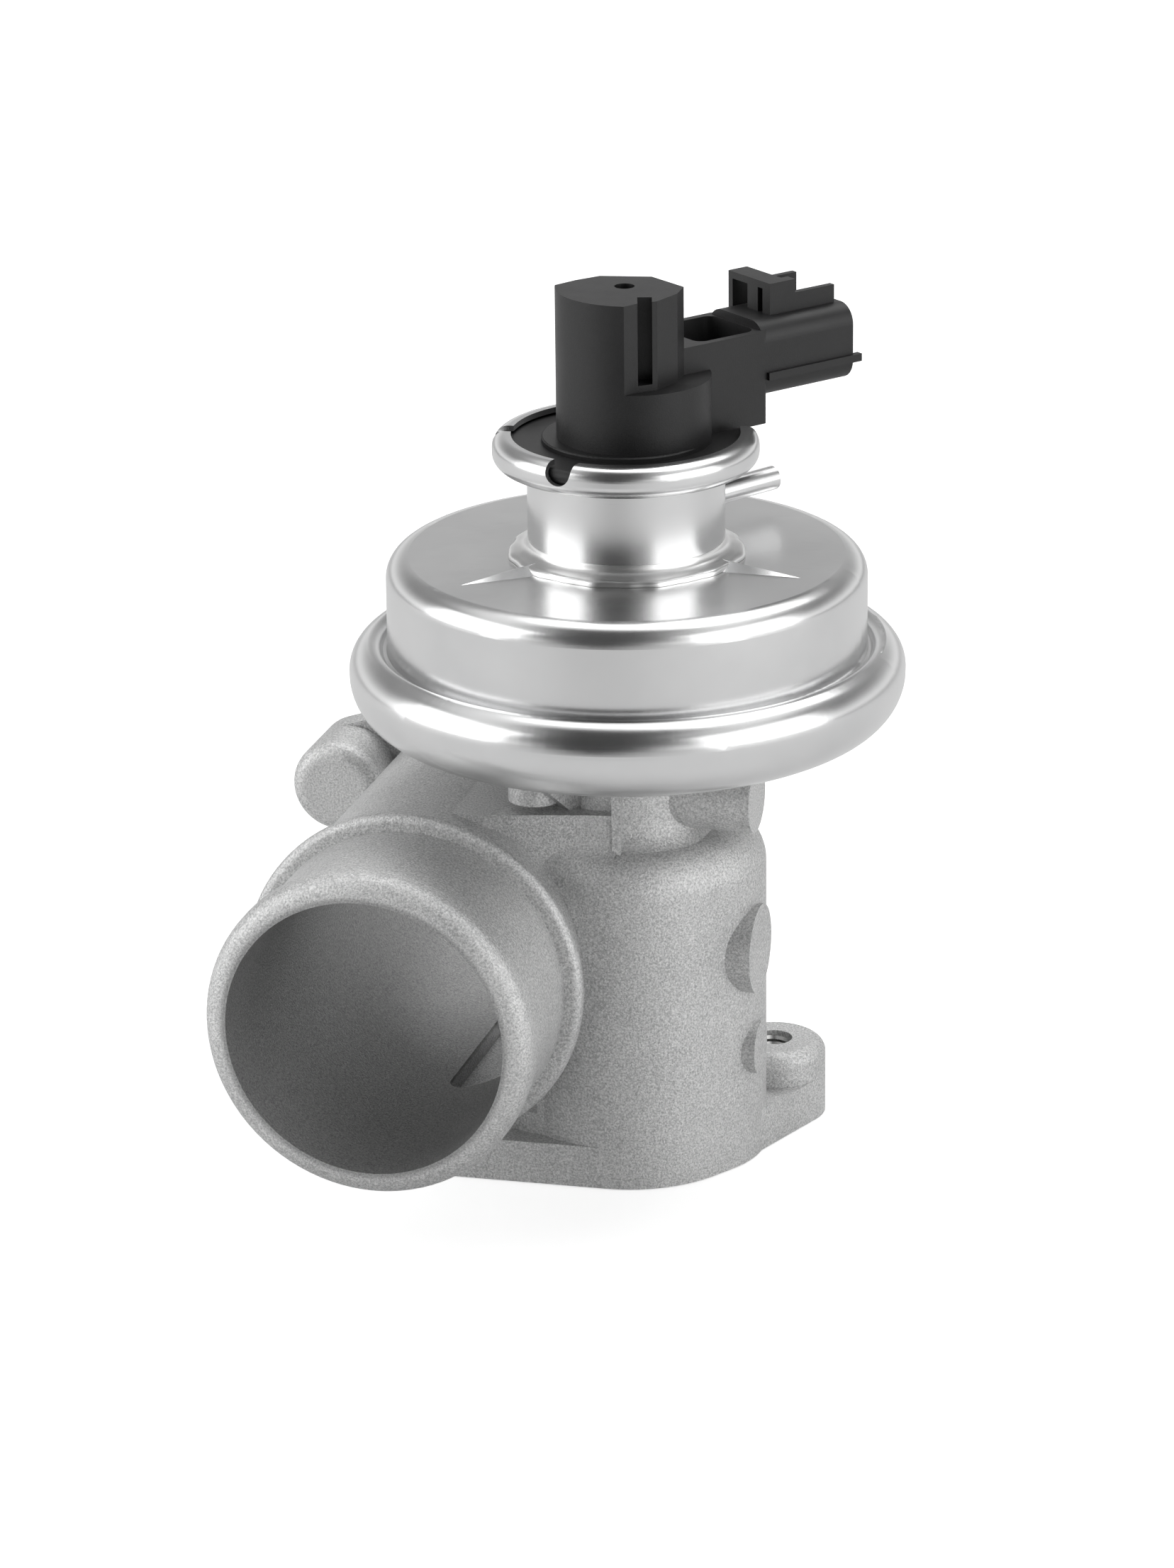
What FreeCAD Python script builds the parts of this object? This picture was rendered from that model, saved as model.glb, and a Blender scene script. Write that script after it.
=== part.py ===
import FreeCAD, Part
import math
import os

from FreeCAD import Vector

# Vacuum operated exhaust gas recirculation valve with a position sensor.
# Millimetres. The origin is on the base flange's face, on the valve axis.
# +Z runs up the valve stem, and the air pipe's mouth looks towards -Y.

# Base flange with its two tapped ears
FLANGE_THICKNESS = 8.0
COLUMN_RADIUS = 22.1
EAR_RADIUS = 9.6
EAR_HEIGHT = 14.2
EAR_ROUNDING = 2.6
EAR_SPACING = 61.2
EAR_LINE_ANGLE = 36.2
EAR_LINE_OFFSET = 5.1
EAR_THREAD_RADIUS = 3.4
BLIND_THREAD_DEPTH = 9.5
THREAD_CHAMFER = 0.8

# Valve column of the housing
SHOULDER_TOP_Z = 64.0
SHOULDER_ROUNDING = 8.5
NECK_RADIUS = 14.5
NECK_FILLET = 6.0
NECK_BITE = 0.12
BULGE_CENTRE = (4.7, 3.0)
BULGE_RADIUS = 19.7
CHAMBER_RADIUS = 17.5
CHAMBER_ROOF_Z = 50.0
CHAMBER_ROUNDING = 3.0

# Air duct past the column
DUCT_X = -31.9
DUCT_Z = 41.1
DUCT_BORE_RADIUS = 25.5
DUCT_RADIUS = 29.3
SPIGOT_RADIUS = 28.6
BEAD_RADIUS = 30.0
BEAD_LENGTH = 6.0
BEAD_RUNOUT = 2.2
BEAD_NOSE_ROUNDING = 3.6
MOUTH_DISTANCE = 60.0
RING_DISTANCE = 31.8
RING_WIDTH = 3.6
RING_RADIUS = 31.6
RING_ROUNDING = 1.5
OUTLET_DISTANCE = 38.0
OUTLET_FLANGE_THICKNESS = 6.0
OUTLET_FLANGE_RADIUS = 33.0
LUG_PITCH_RADIUS = 34.8
LUG_ANGLE = 153.5
LUG_RADIUS = 8.7
LUG_LENGTH = 18.0
LUG_ROUNDING = 3.0
LUG_THREAD_RADIUS = 2.5
LUG_THREAD_DEPTH = 14.0
OUTLET_GROOVE_INNER = 27.2
OUTLET_GROOVE_WIDTH = 3.2
OUTLET_GROOVE_DEPTH = 2.1
OUTLET_RING_TUBE = 1.3

# Gas port between chamber and duct
PORT_FLOOR_Z = 12.0
PORT_TOP_Z = 30.0
PORT_LEFT_X = -29.7
PORT_HALF_WIDTH = 20.0
PORT_CORNER_RADIUS = 4.0
SADDLE_RADIUS = 14.0

# Cast pads, boss and ribs
PAD_X = 24.9
PAD_Y = -1.0
PAD_Z = 41.3
PAD_RADIUS = 8.2
SMALL_PAD_X = 24.9
SMALL_PAD_Y = -0.8
SMALL_PAD_Z = 21.8
SMALL_PAD_RADIUS = 4.8
BOSS_X = 25.0
BOSS_Y = -4.0
BOSS_Z = 71.3
BOSS_RADIUS = 6.2
RIB_ANGLE = -82.0
RIB_THICKNESS = 1.6
RIB_REACH = 2.8
WEB_ANGLE = -118.0
WEB_THICKNESS = 2.4
WEB_REACH = 10.0
WEB_HEIGHT = 9.0
LEDGE_TOP_Z = 70.0
LEDGE_RIGHT = (-2.7, -17.0)
LEDGE_LEFT = (-20.8, -21.6)

# Actuator seat of the housing
SEAT_FLANGE_RADIUS = 22.4
SEAT_FLANGE_THICKNESS = 4.0
HOUSING_TOP_Z = 80.0
SCREW_COUNT = 3
SCREW_FIRST_ANGLE = 106.0
SCREW_EDGE_MARGIN = 2.9
SCREW_PITCH_RADIUS = SEAT_FLANGE_RADIUS - SCREW_EDGE_MARGIN
SCREW_RADIUS = 1.65
SCREW_DEPTH = 7.0
SCREW_BOSS_RADIUS = 4.8
SCREW_BOSS_LENGTH = 4.5
SCREW_HEAD_RADIUS = 3.6
SCREW_HEAD_HEIGHT = 2.6
SCREW_HOLE_CLEARANCE = 0.4

# Valve seat, head, stem and guide
SEAT_BORE_RADIUS = 11.5
SEAT_OUTER_RADIUS = 15.0
SEAT_TOP_Z = 6.5
SEAT_CHAMFER = 1.8
SEAT_STOP_RADIUS = 14.2
SEAT_STOP_THICKNESS = 1.5
SEAT_GAP = 0.15
HEAD_EDGE = 1.3
HEAD_HUB_RADIUS = 5.0
HEAD_HUB_RISE = 1.4
HEAD_FILLET = 2.0
STEM_RADIUS = 3.0
STEM_TOP_RADIUS = 2.5
GUIDE_OUTER_RADIUS = 5.5
GUIDE_LENGTH = 23.0
GUIDE_CLEARANCE = 0.05
SHIELD_THICKNESS = 0.8
SHIELD_RADIUS = 6.0
SHIELD_DROP = 4.0
SHIELD_GAP = 0.6
SEAL_OUTER_RADIUS = 7.0
SEAL_THICKNESS = 4.0
SEAL_GAP = 0.2
RETAINER_THICKNESS = 1.6

# Lift of the valve, also the travel of the sensor's plunger
VALVE_LIFT = 7.0

# Vacuum actuator
GASKET_THICKNESS = 0.8
SHEET = 1.2
PAN_FLOOR_RADIUS = 30.0
PAN_STEP = 4.0
PAN_HOLE_RADIUS = 7.6
RIM_RADIUS = 50.0
RIM_RISE = 3.4
RIM_HEIGHT = 15.6
RIM_TOP_ROUNDING = 5.4
RIM_TOP_SLOPE = 1.6
RIM_BOTTOM_ROUNDING = 9.4
RIM_LIP_RADIUS = 40.0
RIM_GROOVE_WIDTH = 1.8
RIM_GROOVE_FLARE = 0.9
RIM_GROOVE_DEPTH = 2.0
CURL_GAP = 0.2
LEDGE_WIDTH = 5.5
CAN_RADIUS = 43.1
CAN_HEIGHT = 15.6
CAN_ROUNDING = 4.0
CAN_HOLE_CLEARANCE = 0.35
STAMPED_RIB_COUNT = 3
STAMPED_RIB_ANGLE = -132.0
STAMPED_RIB_TIP = 38.0
STAMPED_RIB_HALF_WIDTH = 4.2
STAMPED_RIB_HEIGHT = 1.4
STAMPED_RIB_GAP = 0.3
DIAPHRAGM_THICKNESS = 1.2
DIAPHRAGM_BEAD_WIDTH = 1.8
DIAPHRAGM_BEAD_HEIGHT = 0.7
DIAPHRAGM_RISE = 8.6
DIAPHRAGM_FLEX_OUTER = 40.5
DIAPHRAGM_FLEX_INNER = 35.0
DIAPHRAGM_HOLE_GAP = 0.4
PLATE_THICKNESS = 1.2
LOWER_PLATE_RADIUS = 29.0
UPPER_PLATE_RADIUS = 27.6
UPPER_PLATE_RIM = 3.7
WASHER_RADIUS = 6.5
WASHER_THICKNESS = 1.2
NUT_FLATS = 8.0
NUT_HEIGHT = 4.0
STEM_END = 0.8
RETURN_SPRING_RADIUS = 20.0
RETURN_SPRING_WIRE = 1.2
RETURN_SPRING_TURNS = 4.5
SPRING_END_GAP = 0.1
SPRING_SEAT_INNER = 17.4
SPRING_SEAT_OUTER = 24.0
SPRING_SEAT_THICKNESS = 1.2

# Neck and collar that hold the sensor
CUP_SHEET = 1.0
NECK_OUTER_RADIUS = 17.65
CUP_FOOT_RADIUS = 20.6
COLLAR_RADIUS = 23.8
NECK_HEIGHT = 16.6
COLLAR_HEIGHT = 5.7
COLLAR_LIP_RADIUS = 20.4
COLLAR_ROUNDING = 2.4
NOTCH_ANGLE = -105.0
NOTCH_RADIUS = 2.5
NOTCH_DEPTH = 3.7
GAP_ANGLE = -172.0
GAP_WIDTH = 3.6
GAP_DEPTH = 3.0
ARM_GAP_START = 24.0
ARM_GAP_END = 80.0
ARM_GAP_DEPTH = 2.0

# Vacuum nipple
PIPE_RADIUS = 2.2
PIPE_BORE_RADIUS = 1.5
PIPE_REACH = 35.6
PIPE_ANGLE = 57.0
PIPE_RISE = 6.4
FERRULE_RADIUS = 2.9
FERRULE_REACH = 2.0

# Position sensor, modelled in its own axes and turned about the valve axis
SENSOR_TURN = 16.0
SENSOR_DISC_GAP = 0.3
SENSOR_DISC_CLEARANCE = 0.4
FOOT_RING_RADIUS = 15.0
FOOT_RING_HEIGHT = 1.0
BARREL_OFFSET = 1.5
BARREL_RADIUS = 13.8
SHELF_RISE = 12.0
BARREL_RISE = 16.1
SLOT_X = (2.15, 4.7)
BARREL_ARC = (174.9, -97.3)
BARREL_FLATS = ((2.0, -11.8), (5.6, -10.3), (9.2, -5.4), (10.4, -0.9), (4.9, 6.2), (-4.3, 7.1), (-8.6, 4.4))
SLOT_FLOOR_Y = -7.6
SLOT_FOOT = 1.2
TOP_HOLE_RADIUS = 1.8
TOP_HOLE_DEPTH = 1.8
TOP_WALL = 3.1
SPIGOT_CLEARANCE = 0.25
SPIGOT_WALL = 2.4
SPIGOT_LENGTH = 6.5
O_RING_TUBE = 1.0
O_RING_GAP = 0.1
SENSOR_BORE_RADIUS = 5.2
COVER_THICKNESS = 1.7
COVER_RECESS = 0.3
CONNECTOR_ANGLE = 36.0
ARM_NEAR_START = (10.4, -0.9)
ARM_NEAR_CORNER = 19.3
ARM_LENGTH = 25.2
ARM_SINK = 0.2
ARM_HEIGHT = 16.9
POCKET_START = 11.0
POCKET_LENGTH = 12.8
POCKET_WALL = 1.4
POCKET_DEPTH = 6.4
CONNECTOR_OFFSET = 2.0
CONNECTOR_HALF_WIDTH = 8.0
CONNECTOR_RISE = 4.3
CONNECTOR_HEIGHT = 14.0
CONNECTOR_END = 44.8
CONNECTOR_ROUNDING = 3.6
CONNECTOR_WALL = 1.2
SOCKET_DEPTH = 14.5
RAIL_HEIGHT = 1.4
RAIL_DEPTH = 0.7
RAIL_OFFSET = 3.5
RAIL_TAB = 1.5
LATCH_START = 28.8
LATCH_CENTRE = 1.9
LATCH_HALF_WIDTH = 6.1
LATCH_HEIGHT = 5.8
LATCH_LENGTH = 4.2
LATCH_WALL = 1.2
LATCH_LEG_WIDTH = 2.2
LATCH_LEG_LENGTH = 5.7
LATCH_POST_WIDTH = 3.0
LATCH_POST_OFFSET = -1.0
LATCH_ROOF = 1.3
LATCH_RIB_HEIGHT = 3.3
LATCH_RIB_END = 43.4
PIN_COUNT = 3
PIN_PITCH = 4.2
PIN_WIDTH = 1.5
PIN_HEIGHT = 0.8
PIN_REACH = 8.0
PIN_ROOT = 4.0
PLUNGER_RADIUS = 2.4
PLUNGER_CLEARANCE = 0.08
PLUNGER_TIP_GAP = 0.02
PLUNGER_COLLAR_RISE = 3.5
PLUNGER_COLLAR_RADIUS = 4.6
PLUNGER_COLLAR_HEIGHT = 2.0
PLUNGER_TOP_RADIUS = 1.8
PLUNGER_TOP_LENGTH = 9.0
PLUNGER_SPRING_RADIUS = 3.0
PLUNGER_SPRING_WIRE = 0.45
PLUNGER_SPRING_TURNS = 5.0
WIPER_WIDTH = 3.0
WIPER_HEIGHT = 1.6
WIPER_GAP = 0.1
BOARD_FACE_Y = -7.0
BOARD_THICKNESS = 1.0
BOARD_WIDTH = 7.4
BOARD_MARGIN = 6.0
BOARD_CENTRE_X = -2.2
BOARD_GAP = 0.1

UP = Vector(0, 0, 1)
ORIGIN = Vector(0, 0, 0)

# Sizes that follow from the ones above
RIM_BOTTOM_Z = HOUSING_TOP_Z + RIM_RISE
RIM_TOP_Z = RIM_BOTTOM_Z + RIM_HEIGHT
CAN_TOP_Z = RIM_TOP_Z + CAN_HEIGHT
DIAPHRAGM_REST_Z = HOUSING_TOP_Z + DIAPHRAGM_RISE
COLLAR_BOTTOM_Z = CAN_TOP_Z + NECK_HEIGHT
COLLAR_TOP_Z = COLLAR_BOTTOM_Z + COLLAR_HEIGHT
PIPE_Z = CAN_TOP_Z + PIPE_RISE
CHAMBER_FLOOR_Z = SEAT_TOP_Z + SEAT_STOP_THICKNESS
GUIDE_TOP_Z = CHAMBER_ROOF_Z + GUIDE_LENGTH
PAN_BOTTOM_Z = HOUSING_TOP_Z + GASKET_THICKNESS
PAN_FLOOR_MID_Z = PAN_BOTTOM_Z + SHEET / 2
RIM_CURL_RADIUS = RIM_BOTTOM_ROUNDING - SHEET / 2
CURL_CENTRE_RADIUS = RIM_RADIUS - RIM_BOTTOM_ROUNDING
CURL_CENTRE_Z = RIM_BOTTOM_Z + RIM_BOTTOM_ROUNDING
PAN_CURL_RADIUS = RIM_CURL_RADIUS - SHEET - CURL_GAP
RIM_GROOVE_Z = RIM_TOP_Z - SHEET / 2 - RIM_GROOVE_DEPTH
DIAPHRAGM_EDGE_Z = RIM_GROOVE_Z - SHEET / 2 - CURL_GAP - DIAPHRAGM_THICKNESS / 2
LEDGE_Z = DIAPHRAGM_EDGE_Z - DIAPHRAGM_THICKNESS / 2 - CURL_GAP - SHEET / 2
PLATE_SHOULDER_Z = DIAPHRAGM_REST_Z - DIAPHRAGM_THICKNESS / 2 - PLATE_THICKNESS
UPPER_PLATE_Z = DIAPHRAGM_REST_Z + DIAPHRAGM_THICKNESS / 2
SPRING_FOOT_Z = UPPER_PLATE_Z + PLATE_THICKNESS
NUT_Z = SPRING_FOOT_Z + WASHER_THICKNESS
STEM_TOP_Z = NUT_Z + NUT_HEIGHT + STEM_END
CAN_INNER_TOP_Z = CAN_TOP_Z - SHEET
SPRING_SEAT_Z = CAN_INNER_TOP_Z - SPRING_SEAT_THICKNESS
NECK_INNER_RADIUS = NECK_OUTER_RADIUS - CUP_SHEET
DISC_BOTTOM_Z = COLLAR_BOTTOM_Z + CUP_SHEET + SENSOR_DISC_GAP
DISC_TOP_Z = COLLAR_TOP_Z - CUP_SHEET - SENSOR_DISC_CLEARANCE
SHELF_Z = DISC_TOP_Z + SHELF_RISE
SENSOR_TOP_Z = SHELF_Z + BARREL_RISE
ARM_BOTTOM_Z = DISC_TOP_Z - ARM_SINK
ARM_TOP_Z = DISC_TOP_Z + ARM_HEIGHT
POCKET_FLOOR_Z = ARM_TOP_Z - POCKET_DEPTH
CONNECTOR_BOTTOM_Z = DISC_TOP_Z + CONNECTOR_RISE
CONNECTOR_TOP_Z = CONNECTOR_BOTTOM_Z + CONNECTOR_HEIGHT
RAIL_Z = CONNECTOR_BOTTOM_Z + RAIL_OFFSET
LATCH_TOP_Z = CONNECTOR_TOP_Z + LATCH_HEIGHT
LATCH_RIB_Z = CONNECTOR_TOP_Z + LATCH_RIB_HEIGHT
PLUNGER_COLLAR_Z = DISC_TOP_Z + PLUNGER_COLLAR_RISE
BOARD_BOTTOM_Z = PLUNGER_COLLAR_Z + PLUNGER_COLLAR_HEIGHT / 2 - BOARD_MARGIN
BOARD_TOP_Z = BOARD_BOTTOM_Z + VALVE_LIFT + 2 * BOARD_MARGIN
DISC_RADIUS = COLLAR_RADIUS - CUP_SHEET - SENSOR_DISC_CLEARANCE
SPIGOT_BODY_RADIUS = NECK_INNER_RADIUS - SPIGOT_CLEARANCE
SPIGOT_BOTTOM_Z = DISC_BOTTOM_Z - SPIGOT_LENGTH
SENSOR_ROOF_Z = SENSOR_TOP_Z - TOP_WALL
SOCKET_FLOOR = CONNECTOR_END - SOCKET_DEPTH
COVER_BOTTOM_Z = SPIGOT_BOTTOM_Z + COVER_RECESS
COVER_TOP_Z = COVER_BOTTOM_Z + COVER_THICKNESS


def polar(radius, degrees, z=0.0):
    """A point at a radius and an angle about Z."""
    angle = math.radians(degrees)
    return Vector(radius * math.cos(angle), radius * math.sin(angle), z)


def lift_xz(point):
    """A profile point (radius, height) in the XZ plane."""
    return Vector(point[0], 0, point[1])


def lift_xy(point):
    """An outline point in the XY plane."""
    return Vector(point[0], point[1], 0)


def rounded_wire(points, radii, lift):
    """Closed wire through the points, with each corner rounded by its radius."""
    starts, ends, middles = [], [], []
    count = len(points)
    for i, corner in enumerate(points):
        before = points[i - 1]
        after = points[(i + 1) % count]
        a = (before[0] - corner[0], before[1] - corner[1])
        b = (after[0] - corner[0], after[1] - corner[1])
        la, lb = math.hypot(*a), math.hypot(*b)
        a = (a[0] / la, a[1] / la)
        b = (b[0] / lb, b[1] / lb)
        half = math.acos(max(-1.0, min(1.0, a[0] * b[0] + a[1] * b[1]))) / 2
        radius = radii[i]
        if radius <= 0 or math.pi / 2 - half < 1e-6:
            starts.append(corner)
            ends.append(corner)
            middles.append(None)
            continue
        reach = radius / math.tan(half)
        bisector = (a[0] + b[0], a[1] + b[1])
        lbis = math.hypot(*bisector)
        depth = radius / math.sin(half) - radius
        starts.append((corner[0] + a[0] * reach, corner[1] + a[1] * reach))
        ends.append((corner[0] + b[0] * reach, corner[1] + b[1] * reach))
        middles.append((corner[0] + bisector[0] / lbis * depth, corner[1] + bisector[1] / lbis * depth))
    edges = []
    for i in range(count):
        if middles[i]:
            edges.append(Part.Arc(lift(starts[i]), lift(middles[i]), lift(ends[i])).toShape())
        nxt = starts[(i + 1) % count]
        if math.hypot(nxt[0] - ends[i][0], nxt[1] - ends[i][1]) > 1e-6:
            edges.append(Part.makeLine(lift(ends[i]), lift(nxt)))
    return Part.Wire(edges)


def revolved(points, radii=None):
    """Solid of revolution about Z of a rounded (radius, height) profile."""
    wire = rounded_wire(points, radii or [0] * len(points), lift_xz)
    return Part.Face(wire).revolve(ORIGIN, UP, 360)


def offset_path(points, distance):
    """Open path moved sideways, to its left for a positive distance, with mitred corners."""
    normals = []
    for (x0, y0), (x1, y1) in zip(points, points[1:]):
        length = math.hypot(x1 - x0, y1 - y0)
        normals.append((-(y1 - y0) / length, (x1 - x0) / length))
    moved = [(points[0][0] + normals[0][0] * distance, points[0][1] + normals[0][1] * distance)]
    for i in range(1, len(points) - 1):
        n0, n1 = normals[i - 1], normals[i]
        scale = distance / (1 + n0[0] * n1[0] + n0[1] * n1[1])
        moved.append((points[i][0] + (n0[0] + n1[0]) * scale, points[i][1] + (n0[1] + n1[1]) * scale))
    last = normals[-1]
    moved.append((points[-1][0] + last[0] * distance, points[-1][1] + last[1] * distance))
    return moved


def pressed_sheet(points, radii, thickness):
    """Sheet metal shell about Z: a mid-line path, the bend radius at each inner point, a thickness."""
    left = offset_path(points, thickness / 2)
    right = offset_path(points, -thickness / 2)
    left_radii, right_radii = [0.0], [0.0]
    for i in range(1, len(points) - 1):
        (x0, y0), (x1, y1), (x2, y2) = points[i - 1], points[i], points[i + 1]
        turn = (x1 - x0) * (y2 - y1) - (y1 - y0) * (x2 - x1)
        side = math.copysign(thickness / 2, turn)
        left_radii.append(radii[i - 1] - side)
        right_radii.append(radii[i - 1] + side)
    left_radii.append(0.0)
    right_radii.append(0.0)
    return revolved(left + right[::-1], left_radii + right_radii[::-1])


def circle_hull(circles):
    """Wire round circles (x, y, radius) that are given anticlockwise: arcs joined by tangents."""
    normals = []
    count = len(circles)
    for i, (x0, y0, r0) in enumerate(circles):
        x1, y1, r1 = circles[(i + 1) % count]
        heading = math.atan2(y1 - y0, x1 - x0)
        normals.append(heading - math.acos((r0 - r1) / math.hypot(x1 - x0, y1 - y0)))
    edges = []
    for i, (x, y, radius) in enumerate(circles):
        start, stop = normals[i - 1], normals[i]
        while stop <= start:
            stop += 2 * math.pi
        while stop - start > 2 * math.pi:
            stop -= 2 * math.pi
        on = [Vector(x + radius * math.cos(t), y + radius * math.sin(t), 0)
              for t in (start, (start + stop) / 2, stop)]
        edges.append(Part.Arc(*on).toShape())
        x1, y1, r1 = circles[(i + 1) % count]
        end = Vector(x1 + r1 * math.cos(stop), y1 + r1 * math.sin(stop), 0)
        edges.append(Part.makeLine(on[2], end))
    return Part.Wire(edges)


def prism(wire, low, high):
    """Upright prism on a wire of the XY plane, between two heights."""
    solid = Part.Face(wire).extrude(Vector(0, 0, high - low))
    solid.translate(Vector(0, 0, low))
    return solid


def edges_at(solid, z):
    """Edges that lie wholly at one height."""
    return [e for e in solid.Edges if abs(e.BoundBox.ZMin - z) < 1e-4 and abs(e.BoundBox.ZMax - z) < 1e-4]


def rounded_rim(solid, radius, z):
    """The solid with the edges at one height rounded."""
    return solid.makeFillet(radius, edges_at(solid, z))


def cylinder(radius, start, direction, length):
    """A round bar from a point, along a direction."""
    return Part.makeCylinder(radius, length, start, direction)


def tube_ring(inner, outer, low, high):
    """A flat ring about Z."""
    return revolved([(inner, low), (outer, low), (outer, high), (inner, high)])


def fused(solids):
    """One solid from several that overlap, with its split faces joined."""
    result = solids[0].fuse(solids[1:]) if len(solids) > 1 else solids[0]
    return result.removeSplitter()


def along_duct(shape):
    """A shape made about Z, laid on the duct's axis so that its height is the row's Y."""
    placed = shape.copy()
    placed.rotate(ORIGIN, Vector(1, 0, 0), -90)
    placed.translate(Vector(DUCT_X, 0, DUCT_Z))
    return placed


def turned(shape, degrees):
    """A copy turned about Z."""
    placed = shape.copy()
    placed.rotate(ORIGIN, UP, degrees)
    return placed


def ear_centres():
    """Plan positions of the base flange's two tapped ears: right, then left."""
    middle = polar(EAR_LINE_OFFSET, EAR_LINE_ANGLE + 90)
    reach = polar(EAR_SPACING / 2, EAR_LINE_ANGLE)
    return middle + reach, middle - reach


def screw_places(z):
    """Axes of the screws that hold the actuator on the housing."""
    step = 360.0 / SCREW_COUNT
    return [polar(SCREW_PITCH_RADIUS, SCREW_FIRST_ANGLE + i * step, z) for i in range(SCREW_COUNT)]


def lug_places():
    """Lug centres of the outlet flange in the duct's own axes."""
    return [polar(LUG_PITCH_RADIUS, -LUG_ANGLE), polar(LUG_PITCH_RADIUS, 180 - LUG_ANGLE)]


def base_flange():
    """Plate with two ears, and the taller rounded pillar in each ear."""
    right, left = ear_centres()
    middle = polar(2 * EAR_LINE_OFFSET, EAR_LINE_ANGLE + 90)
    outline = circle_hull([(0, 0, COLUMN_RADIUS), (right.x, right.y, EAR_RADIUS),
                           (middle.x, middle.y, COLUMN_RADIUS), (left.x, left.y, EAR_RADIUS)])
    plate = prism(outline, 0, FLANGE_THICKNESS)
    pillars = []
    for centre in (right, left):
        pillar = cylinder(EAR_RADIUS, centre, UP, EAR_HEIGHT)
        pillars.append(rounded_rim(pillar, EAR_ROUNDING, EAR_HEIGHT))
    return [plate] + pillars


def neck_foot():
    """Where the neck's foot fillet touches the column's rounded shoulder: radius, height and slope."""
    inset = COLUMN_RADIUS - SHOULDER_ROUNDING
    across = NECK_RADIUS + NECK_FILLET - inset
    reach = SHOULDER_ROUNDING + NECK_FILLET
    rise = math.sqrt(reach ** 2 - across ** 2)
    share = SHOULDER_ROUNDING / reach
    height = SHOULDER_TOP_Z - SHOULDER_ROUNDING + rise * share - NECK_BITE
    return inset + across * share, height, across / rise


def valve_column():
    """Column with its side bulge and rounded shoulder, and the neck that flares into it."""
    top = HOUSING_TOP_Z - SEAT_FLANGE_THICKNESS / 2
    outline = circle_hull([(0, 0, COLUMN_RADIUS), (*BULGE_CENTRE, BULGE_RADIUS)])
    trunk = rounded_rim(prism(outline, 0, SHOULDER_TOP_Z), SHOULDER_ROUNDING, SHOULDER_TOP_Z)
    radius, height, slope = neck_foot()
    sunk = 3 * NECK_BITE
    low = SHOULDER_TOP_Z - SHOULDER_ROUNDING
    neck = revolved([(0, low), (radius + sunk, low), (radius + sunk, height - sunk * slope),
                     (NECK_RADIUS, height + (radius - NECK_RADIUS) * slope), (NECK_RADIUS, top), (0, top)],
                    [0, 0, 0, NECK_FILLET, 0, 0])
    return [trunk, neck]


def actuator_seat():
    """Round flange on the neck, with a boss for each screw."""
    flange = cylinder(SEAT_FLANGE_RADIUS, Vector(0, 0, HOUSING_TOP_Z - SEAT_FLANGE_THICKNESS), UP,
                      SEAT_FLANGE_THICKNESS)
    foot = HOUSING_TOP_Z - SEAT_FLANGE_THICKNESS - SCREW_BOSS_LENGTH
    bosses = [cylinder(SCREW_BOSS_RADIUS, place, UP, SCREW_BOSS_LENGTH + 1.0)
              for place in screw_places(foot)]
    return [flange] + bosses


def air_duct():
    """Straight duct: beaded mouth, root ring, body, outlet flange with a free lug and one in the column."""
    mouth = -MOUTH_DISTANCE
    bead_end = mouth + BEAD_LENGTH
    body = revolved([(0, mouth), (BEAD_RADIUS, mouth), (BEAD_RADIUS, bead_end),
                     (SPIGOT_RADIUS, bead_end + BEAD_RUNOUT), (SPIGOT_RADIUS, -RING_DISTANCE),
                     (DUCT_RADIUS, -RING_DISTANCE), (DUCT_RADIUS, OUTLET_DISTANCE), (0, OUTLET_DISTANCE)],
                    [0, BEAD_NOSE_ROUNDING, 0.8, 0.8, 0, 0, 0, 0])
    ring_end = -RING_DISTANCE + RING_WIDTH
    ring = revolved([(DUCT_BORE_RADIUS + 1, -RING_DISTANCE), (RING_RADIUS, -RING_DISTANCE),
                     (RING_RADIUS, ring_end), (DUCT_BORE_RADIUS + 1, ring_end)],
                    [0, RING_ROUNDING, RING_ROUNDING, 0])
    lugs = lug_places()
    disc = (0, 0, OUTLET_FLANGE_RADIUS)
    outline = circle_hull([disc, (lugs[1].x, lugs[1].y, LUG_RADIUS), disc, (lugs[0].x, lugs[0].y, LUG_RADIUS)])
    plate = prism(outline, OUTLET_DISTANCE - OUTLET_FLANGE_THICKNESS, OUTLET_DISTANCE)
    lug_start = OUTLET_DISTANCE - LUG_LENGTH
    buried_start = COLUMN_RADIUS / 2
    free = cylinder(LUG_RADIUS, lugs[0] + Vector(0, 0, lug_start), UP, LUG_LENGTH)
    buried = cylinder(LUG_RADIUS, lugs[1] + Vector(0, 0, buried_start), UP, OUTLET_DISTANCE - buried_start)
    pillars = [rounded_rim(free, LUG_ROUNDING, lug_start), buried]
    return [along_duct(shape) for shape in [body, ring, plate] + pillars]


def duct_saddle():
    """Solid foot between the duct and the base flange."""
    outline = circle_hull([(DUCT_X, 0, SADDLE_RADIUS), (0, 0, COLUMN_RADIUS - 1)])
    return prism(outline, 0, DUCT_Z)


def neck_ledge():
    """Wall that fills the corner between the duct's crown and the neck, flat on top."""
    corners = [LEDGE_RIGHT, LEDGE_LEFT, (DUCT_X, LEDGE_LEFT[1]), (DUCT_X, 0), (LEDGE_RIGHT[0], 0)]
    return prism(rounded_wire(corners, [1.0, 0, 0, 0, 0], lift_xy), DUCT_Z, LEDGE_TOP_Z)


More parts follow.
